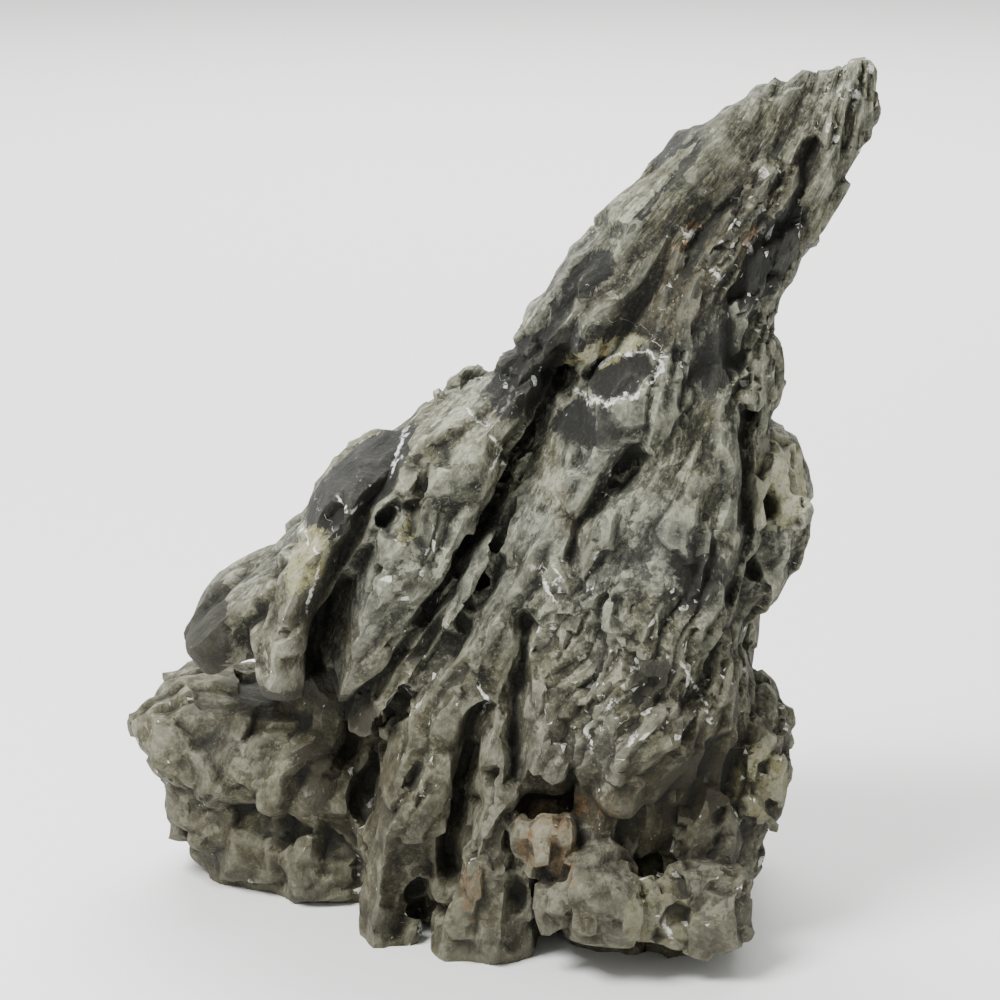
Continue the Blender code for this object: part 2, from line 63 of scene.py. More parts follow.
MM = 0.001
NODE = "stone"
FIRST_SEED = 100
SEED_STEP = 7
FAR = 1e9
NO_VEIN = 9.0
RIDGE_MEAN = 0.62

# Large odd numbers that the lattice multiplies by, and the bits that it keeps.
MIXERS = (374761393, 668265263, 1442695041, 1274126177)
BITS = 0xFFFFFFFF
LAST_BITS = 0xFFFFFF

Array = np.ndarray
Stations = tuple[tuple[float, float, float, float, float], ...]
Ball = tuple[float, float, float, float]
Path = tuple[tuple[float, float], ...]
Place = tuple[float, float, float]
Colour = tuple[float, float, float]
Socket = bpy.types.NodeSocket
Inputs = dict[str, object] | list[object]

HEART: Place = (0.00265, 0.0, 0.099)


def lattice(cells: Array, seed: int) -> Array:
    """Random numbers from 0 to 1, one for each whole-numbered cell, the same on each run.

    Args:
        cells: cell coordinates, shape (..., 3).
        seed: which set of numbers to take.

    Returns:
        An array of shape (...).
    """
    x, y, z = (cells[..., k].astype(np.int64) for k in range(3))
    mixed = (x * MIXERS[0] + y * MIXERS[1] + z * MIXERS[2] + seed * MIXERS[3]) & BITS
    mixed = ((mixed ^ (mixed >> 13)) * MIXERS[3]) & BITS
    mixed = ((mixed ^ (mixed >> 16)) * MIXERS[1]) & BITS
    return ((mixed ^ (mixed >> 15)) & LAST_BITS) / float(LAST_BITS + 1)


def smooth_noise(points: Array, seed: int) -> Array:
    """Value noise from -1 to 1: random corners of a unit grid, blended by the curve 6t^5 - 15t^4 + 10t^3.

    Args:
        points: places to read, shape (..., 3).
        seed: which noise to take.

    Returns:
        An array of shape (...).
    """
    low = np.floor(points)
    part = points - low
    part = part * part * part * (part * (part * 6.0 - 15.0) + 10.0)
    total = np.zeros(points.shape[:-1])
    for corner in itertools.product((0, 1), repeat=3):
        weight = np.prod(np.where(np.array(corner) == 1, part, 1.0 - part), axis=-1)
        total += weight * lattice(low + corner, seed)
    return 2.0 * total - 1.0


def layered_noise(points: Array, seed: int, octaves: int) -> Array:
    """A sum of noises, each twice as fine and half as strong as the one before, scaled to -1 to 1.

    Args:
        points: places to read, shape (..., 3).
        seed: which noise to take.
        octaves: how many noises are summed.

    Returns:
        An array of shape (...).
    """
    total = np.zeros(points.shape[:-1])
    weight, whole = 1.0, 0.0
    for octave in range(octaves):
        total += weight * smooth_noise(points * 2.03**octave + 17.3 * octave, seed + octave)
        whole += weight
        weight *= 0.5
    return total / whole


def ridged_noise(points: Array, seed: int) -> Array:
    """One minus the size of a noise: sharp crests at 1 where the noise crosses zero.

    Args:
        points: places to read, shape (..., 3).
        seed: which noise to take.

    Returns:
        An array of shape (...).
    """
    return 1.0 - np.abs(smooth_noise(points, seed)) ** 0.8


def nearest_cell(points: Array, seed: int) -> tuple[Array, Array, Array]:
    """The random point of each unit cell that lies nearest to each place.

    Args:
        points: places to read, shape (..., 3).
        seed: which random points to take.

    Returns:
        The nearest point's cell, the way from that point to the place, and its distance.
    """
    low = np.floor(points)
    best = np.full(points.shape[:-1], FAR)
    cell_found = np.zeros(points.shape)
    away_found = np.zeros(points.shape)
    for step in itertools.product((-1, 0, 1), repeat=3):
        cell = low + step
        centre = np.stack([cell[..., k] + lattice(cell, seed + 11 * k) for k in range(3)], axis=-1)
        away = points - centre
        distance = np.sum(away * away, axis=-1)
        closer = distance < best
        best = np.where(closer, distance, best)
        cell_found[closer] = cell[closer]
        away_found[closer] = away[closer]
    return cell_found, away_found, np.sqrt(best)


def flakes(points: Array, seed: int) -> Array:
    """Broken facets: each cell is a plane with a height and a tilt of its own, and a step at its border.

    Args:
        points: places to read, shape (..., 3).
        seed: which cells to take.

    Returns:
        Heights of about -1 to 1, shape (...).
    """
    cell, away, _ = nearest_cell(points, seed)
    tilt = np.stack([2.0 * lattice(cell, seed + 50 + k) - 1.0 for k in range(3)], axis=-1)
    return 2.0 * lattice(cell, seed + 90) - 1.0 + 1.1 * np.sum(away * tilt, axis=-1)


def broken_beds(points: Array, seed: int) -> Array:
    """Beds of uneven thickness, broken into lengths with a height of their own, and a groove between beds.

    Args:
        points: distance across the beds in beds, then depth and distance along them in lengths.
        seed: which beds to take.

    Returns:
        Heights of about -1.5 to 1, shape (...).
    """
    track = np.stack([points[..., 0] * 0.6, 0.25 * points[..., 1], 0.25 * points[..., 2]], axis=-1)
    across = points[..., 0] + 0.55 * smooth_noise(track, seed + 1)
    bed = np.floor(across)
    number = np.stack([bed, 0.0 * bed, 0.0 * bed], axis=-1)
    deep = np.floor(points[..., 1] + 5.0 * lattice(number, seed + 2))
    length = np.floor(points[..., 2] + 5.0 * lattice(number + 3.0, seed + 3) + 0.5 * deep)
    block = np.stack([bed, deep, length], axis=-1)
    part = across - bed
    lean = (2.0 * lattice(block, seed + 4) - 1.0) * (part - 0.5)
    groove = np.exp(-((np.minimum(part, 1.0 - part) / 0.13) ** 2))
    return 2.0 * lattice(block, seed) - 1.0 + lean - 0.7 * groove


def stepped(place: Array, seed: int) -> Array:
    """Values from -1 to 1 that hold for a stretch and then jump, as a broken edge does.

    Args:
        place: distance in stretches, any shape.
        seed: which values to take.

    Returns:
        An array of the same shape.
    """
    cell = np.floor(place)
    part = np.clip((place - cell - 0.8) / 0.2, 0.0, 1.0)
    here = lattice(np.stack([cell, 0.0 * cell, 0.0 * cell], axis=-1), seed)
    there = lattice(np.stack([cell + 1.0, 0.0 * cell, 0.0 * cell], axis=-1), seed)
    return 2.0 * (here + (there - here) * part) - 1.0


def shaken(points: Array, seed: int) -> Array:
    """Three noises as one vector, which bends a pattern when it is added to its places."""
    return np.stack([smooth_noise(points, seed + k) for k in range(3)], axis=-1)


def ramp(value: Array, low: float, high: float) -> Array:
    """A straight rise from 0 at low to 1 at high, held at both ends."""
    return np.clip((value - low) / (high - low), 0.0, 1.0)


def above_base(points: Array) -> Array:
    """Share of the relief, which rises from 0 just above the underside."""
    return ramp(points[..., 2], 0.3, 3.0)


@dataclass(frozen=True)
class Fan:
    """The point that the beds fan out from, seen from the front, and the radius that sets their spacing."""

    x: float = 84.0
    z: float = 230.0
    radius: float = 120.0

    def coordinates(self, points: Array) -> Array:
        """Distance across the beds, depth, and distance along the beds.

        Distance across is the fan's angle times its radius, bent by noise.

        Args:
            points: places in the stone's frame, shape (..., 3).

        Returns:
            An array of the same shape.
        """
        dx = self.x - points[..., 0]
        dz = self.z - points[..., 2]
        bend = 5.0 * smooth_noise(points / 38.0, 3) + 2.0 * smooth_noise(points / 15.0, 4)
        across = np.arctan2(dz, dx) * self.radius + bend
        return np.stack([across, points[..., 1], np.hypot(dx, dz)], axis=-1)


@dataclass(frozen=True)
class Grid:
    """A closed surface on a grid: rows of rings, with a cap at both ends."""

    points: Array

    def faces(self, start: int) -> list[tuple[int, ...]]:
        """Quads between neighbouring rings and one cap at each end.

        Args:
            start: number of the first vertex in the joined mesh.

        Returns:
            Faces as tuples of vertex numbers.
        """
        rows, ring = self.points.shape[:2]
        number = start + np.arange(rows * ring).reshape(rows, ring)
        beside = np.roll(number, -1, axis=1)
        quads = np.stack([number[:-1], beside[:-1], beside[1:], number[1:]], axis=-1).reshape(-1, 4)
        first = tuple(int(v) for v in number[0][::-1])
        last = tuple(int(v) for v in number[-1])
        return [tuple(quad) for quad in quads.tolist()] + [first, last]


@dataclass(frozen=True)
class Slab:
    """One bed that stands out: stations (x, z, front y, back y, thickness) from its upper end down.

    Its front and back jump by up to step millimetres, and its thickness by up to the share swell.
    """

    stations: Stations
    seed: int
    corners: int = 7
    step: float = 2.2
    swell: float = 0.14
    fullness: float = 0.6

    def grid(self, rows: int, ring: int) -> Grid:
        """A cornered section carried along the path.

        The place along the path runs as half of one minus the cosine of a half turn, so rows crowd at the
        ends, where the section is drawn in as (1 - cos^14)^(1/2.4). The section joins its corners by straight
        lines. Corner k stands at a jittered angle a, at |cos a|^f across the bed and |sin a|^f in depth,
        where f is the fullness.

        Args:
            rows: sections along the path.
            ring: points round each section.

        Returns:
            The slab's surface.
        """
        values = np.array(self.stations, dtype=float)
        steps = np.hypot(np.diff(values[:, 0]), np.diff(values[:, 1]))
        length = np.concatenate([[0.0], np.cumsum(steps)])
        turn = np.linspace(0.0, np.pi, rows)
        place = length[-1] * (0.5 - 0.5 * np.cos(turn))
        x, z, front, back, thick = (np.interp(place, length, values[:, k]) for k in range(5))
        front = front + self.step * stepped(place / 13.0, self.seed)
        back = back + self.step * stepped(place / 15.0, self.seed + 1)
        thick = thick * (1.0 + self.swell * stepped(place / 11.0, self.seed + 2))
        full = np.maximum((1.0 - np.abs(np.cos(turn)) ** 14) ** (1.0 / 2.4), 0.02)
        dx, dz = np.gradient(x), np.gradient(z)
        size = np.hypot(dx, dz)
        side, deep = self._section(place, ring)
        offset = 0.5 * thick[:, None] * full[:, None] * side
        middle = 0.5 * (front + back)
        half = 0.5 * (back - front) * full
        return Grid(
            np.stack(
                [
                    x[:, None] - (dz / size)[:, None] * offset,
                    middle[:, None] + half[:, None] * deep,
                    z[:, None] + (dx / size)[:, None] * offset,
                ],
                axis=-1,
            )
        )

    def _section(self, place: Array, ring: int) -> tuple[Array, Array]:
        """The section's outline at each place along the path.

        Args:
            place: distances along the path.
            ring: points round each section.

        Returns:
            Shares of the half thickness and of the half depth, each of shape (len(place), ring).
        """
        count = self.corners
        chance = lattice(np.stack([np.arange(count)] * 3, axis=-1), self.seed + 5) - 0.5
        tracks = [np.stack([place / 26.0, 0 * place + 5.0 * k, 0 * place], axis=-1) for k in range(count)]
        wander = np.stack([smooth_noise(track, self.seed) for track in tracks], axis=1)
        angle = 2.0 * np.pi * (np.arange(count) + 0.5 * chance)[None, :] / count + 0.12 * wander
        side = np.sign(np.cos(angle)) * np.abs(np.cos(angle)) ** self.fullness
        deep = np.sign(np.sin(angle)) * np.abs(np.sin(angle)) ** self.fullness
        spot = np.arange(ring) * count / ring
        first = np.floor(spot).astype(int)
        second = (first + 1) % count
        part = spot - first
        return (
            side[:, first] * (1.0 - part) + side[:, second] * part,
            deep[:, first] * (1.0 - part) + deep[:, second] * part,
        )


@dataclass(frozen=True)
class Lump:
    """A round lump at the foot."""

    centre: Place
    radius: float

    def grid(self, rows: int, ring: int) -> Grid:
        """A ball: polar angle along the rows and turn round each ring, both as sines and cosines.

        Args:
            rows: rings from pole to pole.
            ring: points round each ring.

        Returns:
            The lump's surface.
        """
        x, y, z = self.centre
        polar = np.linspace(0.03, np.pi - 0.03, rows)[:, None]
        turn = np.linspace(0.0, 2.0 * np.pi, ring, endpoint=False)[None, :]
        return Grid(
            np.stack(
                [
                    x + self.radius * np.sin(polar) * np.cos(turn),
                    y - self.radius * np.sin(polar) * np.sin(turn),
                    z + self.radius * np.cos(polar) + 0.0 * turn,
                ],
                axis=-1,
            )
        )


@dataclass(frozen=True)
class Cleft:
    """A groove in the front, along a path of (x, z) points from the top down."""

    path: Path
    half_width: float
    depth: float

    def groove(self, points: Array) -> Array:
        """Depth that falls off with distance from the path as exp(-(d / half width)^2).

        Args:
            points: places in the stone's frame, shape (..., 3).

        Returns:
            Depths in millimetres, shape (...).
        """
        flat = points[..., (0, 2)]
        nearest = np.full(flat.shape[:-1], FAR)
        for start, end in zip(self.path[:-1], self.path[1:]):
            origin = np.array(start, dtype=float)
            run = np.array(end, dtype=float) - origin
            share = np.clip(((flat - origin) @ run) / (run @ run), 0.0, 1.0)
            away = flat - origin - share[..., None] * run
            nearest = np.minimum(nearest, np.hypot(away[..., 0], away[..., 1]))
        return self.depth * np.exp(-((nearest / self.half_width) ** 2))


@dataclass(frozen=True)
class Beds:
    """A part of the stone: each field is one slab's stations or one lump's place and radius."""

    def pieces(self, first: int) -> list[Slab | Lump]:
        """The part's slabs and lumps, in the order of its fields.

        Args:
            first: number of this part's first piece in the whole stone, which sets the seeds.

        Returns:
            The pieces.
        """
        made: list[Slab | Lump] = []
        for number, item in enumerate(fields(self), start=first):
            value = getattr(self, item.name)
            if isinstance(value[0], tuple):
                made.append(Slab(value, FIRST_SEED + SEED_STEP * number))
            else:
                made.append(Lump(value[:3], value[3]))
        return made


@dataclass(frozen=True)
class Core(Beds):
    """The inner body and the left heart, which the outer beds stand out from."""

    core: Stations = (
        (73, 195, -4, 8, 10), (64, 174, -6, 15, 17), (49, 150, -9, 24, 29), (36, 126, -13, 34, 46),
        (23, 92, -20, 42, 60), (12, 58, -25, 47, 74), (11, 24, -26, 48, 86), (10, 6, -22, 42, 80),
        (10, -14, -16, 36, 66),
    )
    left_heart: Stations = (
        (14, 132, -1, 22, 17), (0, 115, -3, 26, 22), (-14, 99, -5, 32, 25), (-26, 82, -6, 34, 27),
        (-36, 66, -4, 34, 23), (-40, 50, 0, 40, 28), (-34, 30, 2, 44, 40),
    )


@dataclass(frozen=True)
class Spire(Beds):
    """The thin top: its crest, its smooth left face and the middle between them."""

    crest: Stations = (
        (80.5, 201, -4, 6, 10), (76.5, 193, -6, 9, 15), (73, 182, -9, 14, 13), (67, 168, -11, 18, 14),
        (58.5, 155, -13, 22, 14), (52.5, 138, -15, 24, 13), (48, 116, -16, 26, 12),
    )
    smooth_face: Stations = (
        (71, 197.5, -5, 6, 11), (61, 188.5, -8, 9, 16), (48, 179.5, -12, 12, 18), (35, 165, -16, 14, 20),
        (22, 148, -17, 15, 18), (6, 133.5, -13, 13, 11),
    )
    middle: Stations = (
        (69, 188, -9, 12, 10), (56, 166, -16, 20, 22), (43, 146, -21, 26, 27), (31, 126, -25, 30, 26),
        (21, 104, -26, 32, 18),
    )


@dataclass(frozen=True)
class RightSide(Beds):
    """The right edge: a thin flake, the shoulder and the hip."""

    flake: Stations = (
        (60, 140, -7, 8, 5), (60, 132, -9, 10, 7), (58, 120, -9, 10, 8), (55, 111, -6, 8, 5),
    )
    shoulder: Stations = (
        (55, 116, -12, 18, 6), (62.5, 109, -16, 19, 12.5), (65.5, 100, -19, 22, 14.5),
        (62, 89, -21, 20, 14), (52, 77, -22, 18, 12), (43, 64, -22, 16, 8),
    )
    shoulder_back: Stations = (
        (57, 112, 12, 34, 10), (62, 98, 10, 40, 14), (58, 84, 12, 42, 12), (47, 66, 12, 42, 10),
    )
    hip: Stations = (
        (53, 66, -20, 8, 7), (52, 57, -25, 12, 12), (58, 46, -29, 18, 18), (58, 31, -30, 20, 18),
        (50, 12, -28, 16, 16), (45, -14, -24, 12, 14),
    )
    hip_back: Stations = (
        (46, 50, 18, 38, 10), (53, 36, 16, 42, 14), (54, 20, 14, 44, 16), (48, 4, 12, 42, 14),
    )


@dataclass(frozen=True)
class Front(Beds):
    """The broad rough front, from the brow down to the toes."""

    brow: Stations = (
        (50, 138, -19, 10, 14), (42, 112, -29, 10, 26), (35, 84, -36, 10, 34), (29, 56, -40, 8, 36),
        (24, 39, -41, 8, 26),
    )
    breast: Stations = (
        (34, 132, -19, 10, 12), (24, 106, -28, 10, 20), (15, 80, -33, 10, 22), (10, 56, -36, 10, 20),
        (9, 36, -35, 8, 14),
    )
    flank: Stations = (
        (26, 132, -17, 12, 10), (17, 108, -24, 12, 15), (7, 86, -28, 12, 16), (-4, 68, -30, 12, 18),
        (-15, 50, -31, 12, 20), (-21, 34, -30, 12, 18), (-26, 14, -28, 12, 14), (-26, -12, -22, 12, 12),
    )
    right_face: Stations = (
        (54, 124, -14, 15, 9), (51, 100, -26, 15, 14), (45, 76, -31, 15, 17), (45, 52, -34, 15, 20),
        (43, 34, -34, 15, 20), (41, 12, -33, 15, 18), (40, -14, -28, 15, 16),
    )
    toe_left: Stations = (
        (3, 62, -33, 10, 8), (0, 42, -36, 10, 10), (-4, 22, -36, 10, 11), (-8, 4, -34, 10, 12),
        (-8, -14, -28, 10, 10),
    )
    toe_middle: Stations = (
        (6, 38, -30, 10, 7), (2, 26, -34, 10, 10), (1, 6, -34, 10, 14), (0, -14, -28, 10, 14),
    )
    apron: Stations = (
        (28, 50, -33, 0, 24), (30, 34, -32, 0, 32), (33, 16, -32, 0, 36), (34, -14, -26, 0, 32),
    )


@dataclass(frozen=True)
class LeftWing(Beds):
    """The tilted beds on the left, which end in the air, and the lobe below them."""

    roof: Stations = (
        (7, 132, -7, 18, 9), (-6, 119.5, -11, 24, 12), (-20, 111.5, -14, 34, 13),
        (-34, 101, -15, 40, 15), (-42, 93.5, -13, 36, 13),
    )
    eave: Stations = (
        (-19, 113, -17, 28, 9), (-31, 102, -20, 30, 12), (-40, 91, -22, 30, 13), (-47, 79, -23, 30, 13),
        (-52, 68, -22, 26, 13), (-49, 56, -18, 20, 8),
    )
    wing: Stations = (
        (12, 134, -10, 22, 10), (-2, 116, -18, 28, 17), (-14, 100, -22, 36, 22), (-22, 85, -24, 38, 20),
        (-29, 70, -24, 36, 15), (-37, 56, -20, 30, 9),
    )
    strip: Stations = (
        (-1, 97, -20, 30, 5), (-10, 83, -25, 30, 8), (-20, 69, -27, 28, 9), (-29, 56, -26, 26, 8),
        (-35, 46, -22, 20, 5),
    )
    lobe: Stations = (
        (-88, 38, 12, 36, 10), (-82, 38, 6, 42, 21), (-70, 38, 1, 47, 26), (-54, 35, -3, 49, 27),
        (-43, 32, -6, 50, 28), (-32, 28, -6, 50, 26),
    )
    lobe_foot: Stations = (
        (-81, 28, 12, 38, 22), (-66, 20, 6, 44, 36), (-48, 12, 1, 47, 40), (-18, 4, -2, 46, 38),
    )
    gable: Stations = (
        (-33, 94, -12, 30, 12), (-45, 83.5, -14, 36, 15), (-58, 72, -11, 33, 16), (-73, 61, -6, 24, 16),
    )


@dataclass(frozen=True)
class Back(Beds):
    """The beds of the back."""

    back_left: Stations = (
        (42, 150, 6, 32, 14), (26, 118, 10, 46, 22), (10, 88, 12, 54, 26), (-6, 58, 12, 56, 26),
        (-18, 30, 10, 54, 26), (-22, 4, 8, 48, 22), (-20, -14, 8, 40, 16),
    )
    back_middle: Stations = (
        (56, 134, 8, 32, 12), (46, 96, 10, 50, 22), (36, 62, 12, 58, 26), (28, 30, 12, 58, 26),
        (24, 4, 10, 52, 24), (22, -14, 10, 42, 18),
    )
    back_right: Stations = (
        (60, 108, 6, 30, 12), (53, 76, 8, 36, 13), (51, 44, 10, 44, 18), (48, 4, 8, 40, 18),
    )
    back_wing: Stations = (
        (-7, 110, 20, 42, 12), (-24, 89, 20, 48, 18), (-41, 63, 20, 46, 20), (-51, 42, 20, 45, 22),
    )


@dataclass(frozen=True)
class Foot(Beds):
    """The round lumps at the foot and the rusty nodule above them: (x, y, z, radius)."""

    lump_left: Ball = (19, -38, 18, 10)
    lump_middle: Ball = (31, -40, 16, 9)
    lump_right: Ball = (45, -39, 15, 11)
    nodule: Ball = (10, -37, 31, 6.5)


@dataclass(frozen=True)
class Clefts:
    """The dark grooves of the front."""

    great_cleft: Cleft = Cleft(
        ((13, 136), (7, 121), (-2, 106), (-8, 90), (-18, 73), (-31, 57), (-36, 40)), 2.6, 9
    )
    left_cleft: Cleft = Cleft(((-16, 124), (-29, 107), (-36, 91), (-41, 76), (-43, 60)), 2.5, 9)
    brow_cleft: Cleft = Cleft(((29, 116), (22, 109), (17, 102), (15, 94)), 2.2, 6)
    breast_cleft: Cleft = Cleft(((6, 78), (4, 62), (1, 44)), 2.2, 8)
    toe_cleft: Cleft = Cleft(((-5, 58), (-8, 42), (-12, 20)), 2.2, 8)
    spire_cleft: Cleft = Cleft(((68, 182), (65, 168), (53, 158), (49, 148), (51, 132)), 1.8, 3.5)
    shoulder_cleft: Cleft = Cleft(((54, 122), (55, 100), (49, 74), (42, 62)), 2.2, 6)
    eave_gouge: Cleft = Cleft(((-50, 83), (-55, 66)), 2, 4)
    hollow: Cleft = Cleft(((3, 38), (14, 41)), 3, 2.5)
    pit: Cleft = Cleft(((17, 153), (22, 158)), 2.2, 4)
    bowl: Cleft = Cleft(((22, 131.5), (31, 135.5)), 3.2, 2.2)

    def depth(self, points: Array) -> Array:
        """The deepest groove at each place, on the side that faces the front.

        Args:
            points: places in the stone's frame, shape (..., 3).

        Returns:
            Depths in millimetres, shape (...).
        """
        bent = points + 1.6 * shaken(points / 9.0, 61)
        front = ramp(6.0 - points[..., 1], 0.0, 8.0)
        grooves = [getattr(self, item.name).groove(bent) for item in fields(self)]
        return np.max(grooves, axis=0) * front


@dataclass(frozen=True)
class Spot:
    """A leaning oval on the front: its middle, its reach along and across, its lean and its strength."""

    x: float
    z: float
    length: float
    width: float
    lean_deg: float
    strength: float = 1.0

    def place(self, points: Array) -> tuple[Array, Array]:
        """Where places lie in the oval.

        Args:
            points: places in the stone's frame, shape (..., 3).

        Returns:
            Distances along and across it over its reaches, both of shape (...).
        """
        lean = math.radians(self.lean_deg)
        dx = points[..., 0] - self.x
        dz = points[..., 2] - self.z
        along = (dx * math.cos(lean) + dz * math.sin(lean)) / self.length
        return along, (dz * math.cos(lean) - dx * math.sin(lean)) / self.width


@dataclass(frozen=True)
class SmoothFace(Spot):
    """A smooth face of the front."""

    def share(self, points: Array) -> Array:
        """strength exp(-a^4 - c^4) of the distances along and across, on the front only.

        Args:
            points: places in the stone's frame, shape (..., 3).

        Returns:
            Shares from 0 to 1, shape (...).
        """
        along, across = self.place(points)
        face = np.exp(-(along**4) - across**4) * ramp(4.0 - points[..., 1], 0.0, 8.0)
        return self.strength * face


@dataclass(frozen=True)
class Layer:
    """One kind of relief: its height, its size (across the beds, in depth and along them) and its seed."""

    height: float
    size: Place
    seed: int

    def ridges(self, points: Array) -> Array:
        """Crests where a noise crosses zero, lowered by their mean height."""
        return self.height * (ridged_noise(points / self.size, self.seed) - RIDGE_MEAN)

    def beds(self, points: Array) -> Array:
        """Broken beds."""
        return self.height * broken_beds(points / self.size, self.seed)

    def flakes(self, points: Array) -> Array:
        """Broken facets."""
        return self.height * flakes(points / self.size, self.seed)


@dataclass(frozen=True)
class Relief:
    """The broken surface, as heights in millimetres along the normals.

    The height of flat_blocks is the share of the way to their planes. A rough place is (x, z, reach in x,
    reach in z).
    """

    fan: Fan = Fan()
    clefts: Clefts = Clefts()
    folds: Layer = Layer(2.6, (12.0, 50.0, 60.0), 21)
    flutes: Layer = Layer(1.6, (6.0, 26.0, 34.0), 31)
    ledges: Layer = Layer(1.6, (7.5, 24.0, 30.0), 41)
    humps: Layer = Layer(0.6, (17.0, 17.0, 14.0), 43)
    shard_beds: Layer = Layer(0.5, (3.5, 14.0, 20.0), 91)
    small_shards: Layer = Layer(0.3, (3.5, 8.0, 9.0), 92)
    wide_shards: Layer = Layer(0.45, (6.5, 11.0, 15.0), 93)
    chip_beds: Layer = Layer(0.40, (3.0, 12.0, 17.0), 191)
    small_chips: Layer = Layer(0.25, (3.0, 6.0, 8.0), 192)
    flat_blocks: Layer = Layer(0.5, (11.0, 15.0, 20.0), 141)
    flat_reach: float = 2.0
    colour_blocks: Layer = Layer(1.0, (7.0, 10.0, 15.0), 145)
    smooth_faces: tuple[SmoothFace, ...] = (
        SmoothFace(40, 176, 26, 9, 47, 0.8), SmoothFace(14, 108, 19, 7, 60, 0.6),
        SmoothFace(33, 102, 15, 7, 62, 0.5), SmoothFace(-5, 121, 12, 8, 50, 0.6),
        SmoothFace(47, 139, 11, 6, 70, 0.6), SmoothFace(36, 148, 11, 7, 60, 0.5),
        SmoothFace(-66, 42, 13, 9, 70, 0.5), SmoothFace(-73, 68, 12, 8, 90, 0.6),
    )
    rough_places: tuple[tuple[float, float, float, float], ...] = (
        (28, 72, 26, 22), (44, 152, 17, 20), (77, 192, 9, 12),
    )

    def calm(self, points: Array) -> Array:
        """Share of the relief that is left: less towards the tip, on the left beds and on the smooth faces.

        Args:
            points: places in the stone's frame, shape (..., 3).

        Returns:
            Shares from 0 to 1, shape (...).
        """
        x, z = points[..., 0], points[..., 2]
        high = ramp(z, 140.0, 200.0)
        left = ramp(-0.6 * x - 0.2 * z, -20.0, 4.0) * ramp(z, 40.0, 60.0)
        made = (1.0 - 0.45 * high) * (1.0 - 0.45 * left)
        for face in self.smooth_faces:
            made = made * (1.0 - face.share(points))
        return made

    def open_share(self, points: Array) -> Array:
        """Share of the flattening that is left: none in the clefts, and little on the calm faces."""
        return self.calm(points) * (1.0 - ramp(self.clefts.depth(points), 0.3, 2.5))

    def bent(self, points: Array) -> Array:
        """Places shaken by noise, so that no border of a bed or a block runs straight."""
        return points + 3.0 * shaken(points / 14.0, 71) + 0.5 * shaken(points / 4.0, 75)

    def broad(self, points: Array) -> Array:
        """Folds and flutes along the beds, broken beds, blocks and lumps.

        Args:
            points: places in the stone's frame, shape (..., 3).

        Returns:
            Heights, shape (...).
        """
        bent = self.bent(points)
        beds = self.fan.coordinates(bent)
        lined = self.folds.ridges(beds) + self.flutes.ridges(beds) + self.ledges.beds(beds)
        lumps = 0.9 * layered_noise(points / 22.0, 51, 3)
        return self.open_share(points) * (lined + self.humps.flakes(bent) + lumps)

    def flattening(self, points: Array, normals: Array) -> Array:
        """Moves that flatten each block of the surface onto a plane of its own, not in clefts or at the base.

        The places are sorted into cells of the beds and by the way they face. A cell's plane goes through the
        mean of its places, square to the mean of its normals with a tilt. The move along the normal n is
        (m - p).u / n.u, where m is the mean place and u the plane's normal.

        Args:
            points: places in the stone's frame, shape (n, 3).
            normals: smoothed normals, shape (n, 3).

        Returns:
            Moves along the normals, shape (n,).
        """
        blocks = self.flat_blocks
        cell, _, _ = nearest_cell(self.fan.coordinates(self.bent(points)) / blocks.size, blocks.seed)
        way = np.argmax(np.abs(normals), axis=-1)
        way = 2 * way + (np.take_along_axis(normals, way[:, None], axis=-1)[:, 0] > 0.0)
        most = 1009
        code = ((cell[:, 0] * most + cell[:, 1]) * most + cell[:, 2]) * 8 + way
        _, first, block = np.unique(code, return_index=True, return_inverse=True)
        count = np.bincount(block)
        middle = np.stack([np.bincount(block, column) / count for column in points.T], axis=-1)
        plane = np.stack([np.bincount(block, column) / count for column in normals.T], axis=-1)
        tilt = np.stack([lattice(cell[first], blocks.seed + 60 + k) - 0.5 for k in range(3)], axis=-1)
        plane = plane / np.linalg.norm(plane, axis=-1, keepdims=True) + 0.5 * tilt
        plane = plane / np.linalg.norm(plane, axis=-1, keepdims=True)
        gap = np.sum((middle[block] - points) * plane[block], axis=-1)
        move = gap / np.maximum(np.sum(normals * plane[block], axis=-1), 0.5) * blocks.height
        return np.clip(move, -self.flat_reach, self.flat_reach) * self.open_share(points) * above_base(points)

    def blocks(self, points: Array) -> Array:
        """Which block of the beds each place lies in, as whole numbers.

        Args:
            points: places in the stone's frame, shape (..., 3).

        Returns:
            The blocks' cells, shape (..., 3).
        """
        beds = self.fan.coordinates(self.bent(points))
        return nearest_cell(beds / self.colour_blocks.size, self.colour_blocks.seed)[0]

    def rough(self, points: Array) -> Array:
        """How chipped the surface is: in clouds, below the middle of the front, at the neck and at the tip.

        Args:
            points: places in the stone's frame, shape (..., 3).

        Returns:
            Shares from 0 to 1, shape (...).
        """
        x, z = points[..., 0], points[..., 2]
        clouds = ramp(layered_noise(points / 19.0, 171, 2), -0.05, 0.35)
        made = 0.25 + 0.5 * clouds
        for middle_x, middle_z, reach_x, reach_z in self.rough_places:
            away = ((x - middle_x) / reach_x) ** 2 + ((z - middle_z) / reach_z) ** 2
            made = made + 0.5 * np.exp(-(away**2))
        return np.minimum(made, 1.0)

    def shards(self, points: Array) -> Array:
        """Shards a few millimetres wide, which the last remesh rounds a little.

        Args:
            points: places in the stone's frame, shape (..., 3).

        Returns:
            Heights, shape (...).
        """
        beds = self.fan.coordinates(points + 1.0 * shaken(points / 5.0, 81))
        small = self.shard_beds.beds(beds) + self.small_shards.flakes(beds)
        share = self.calm(points) * above_base(points)
        return share * (self.rough(points) * small + self.wide_shards.flakes(beds))

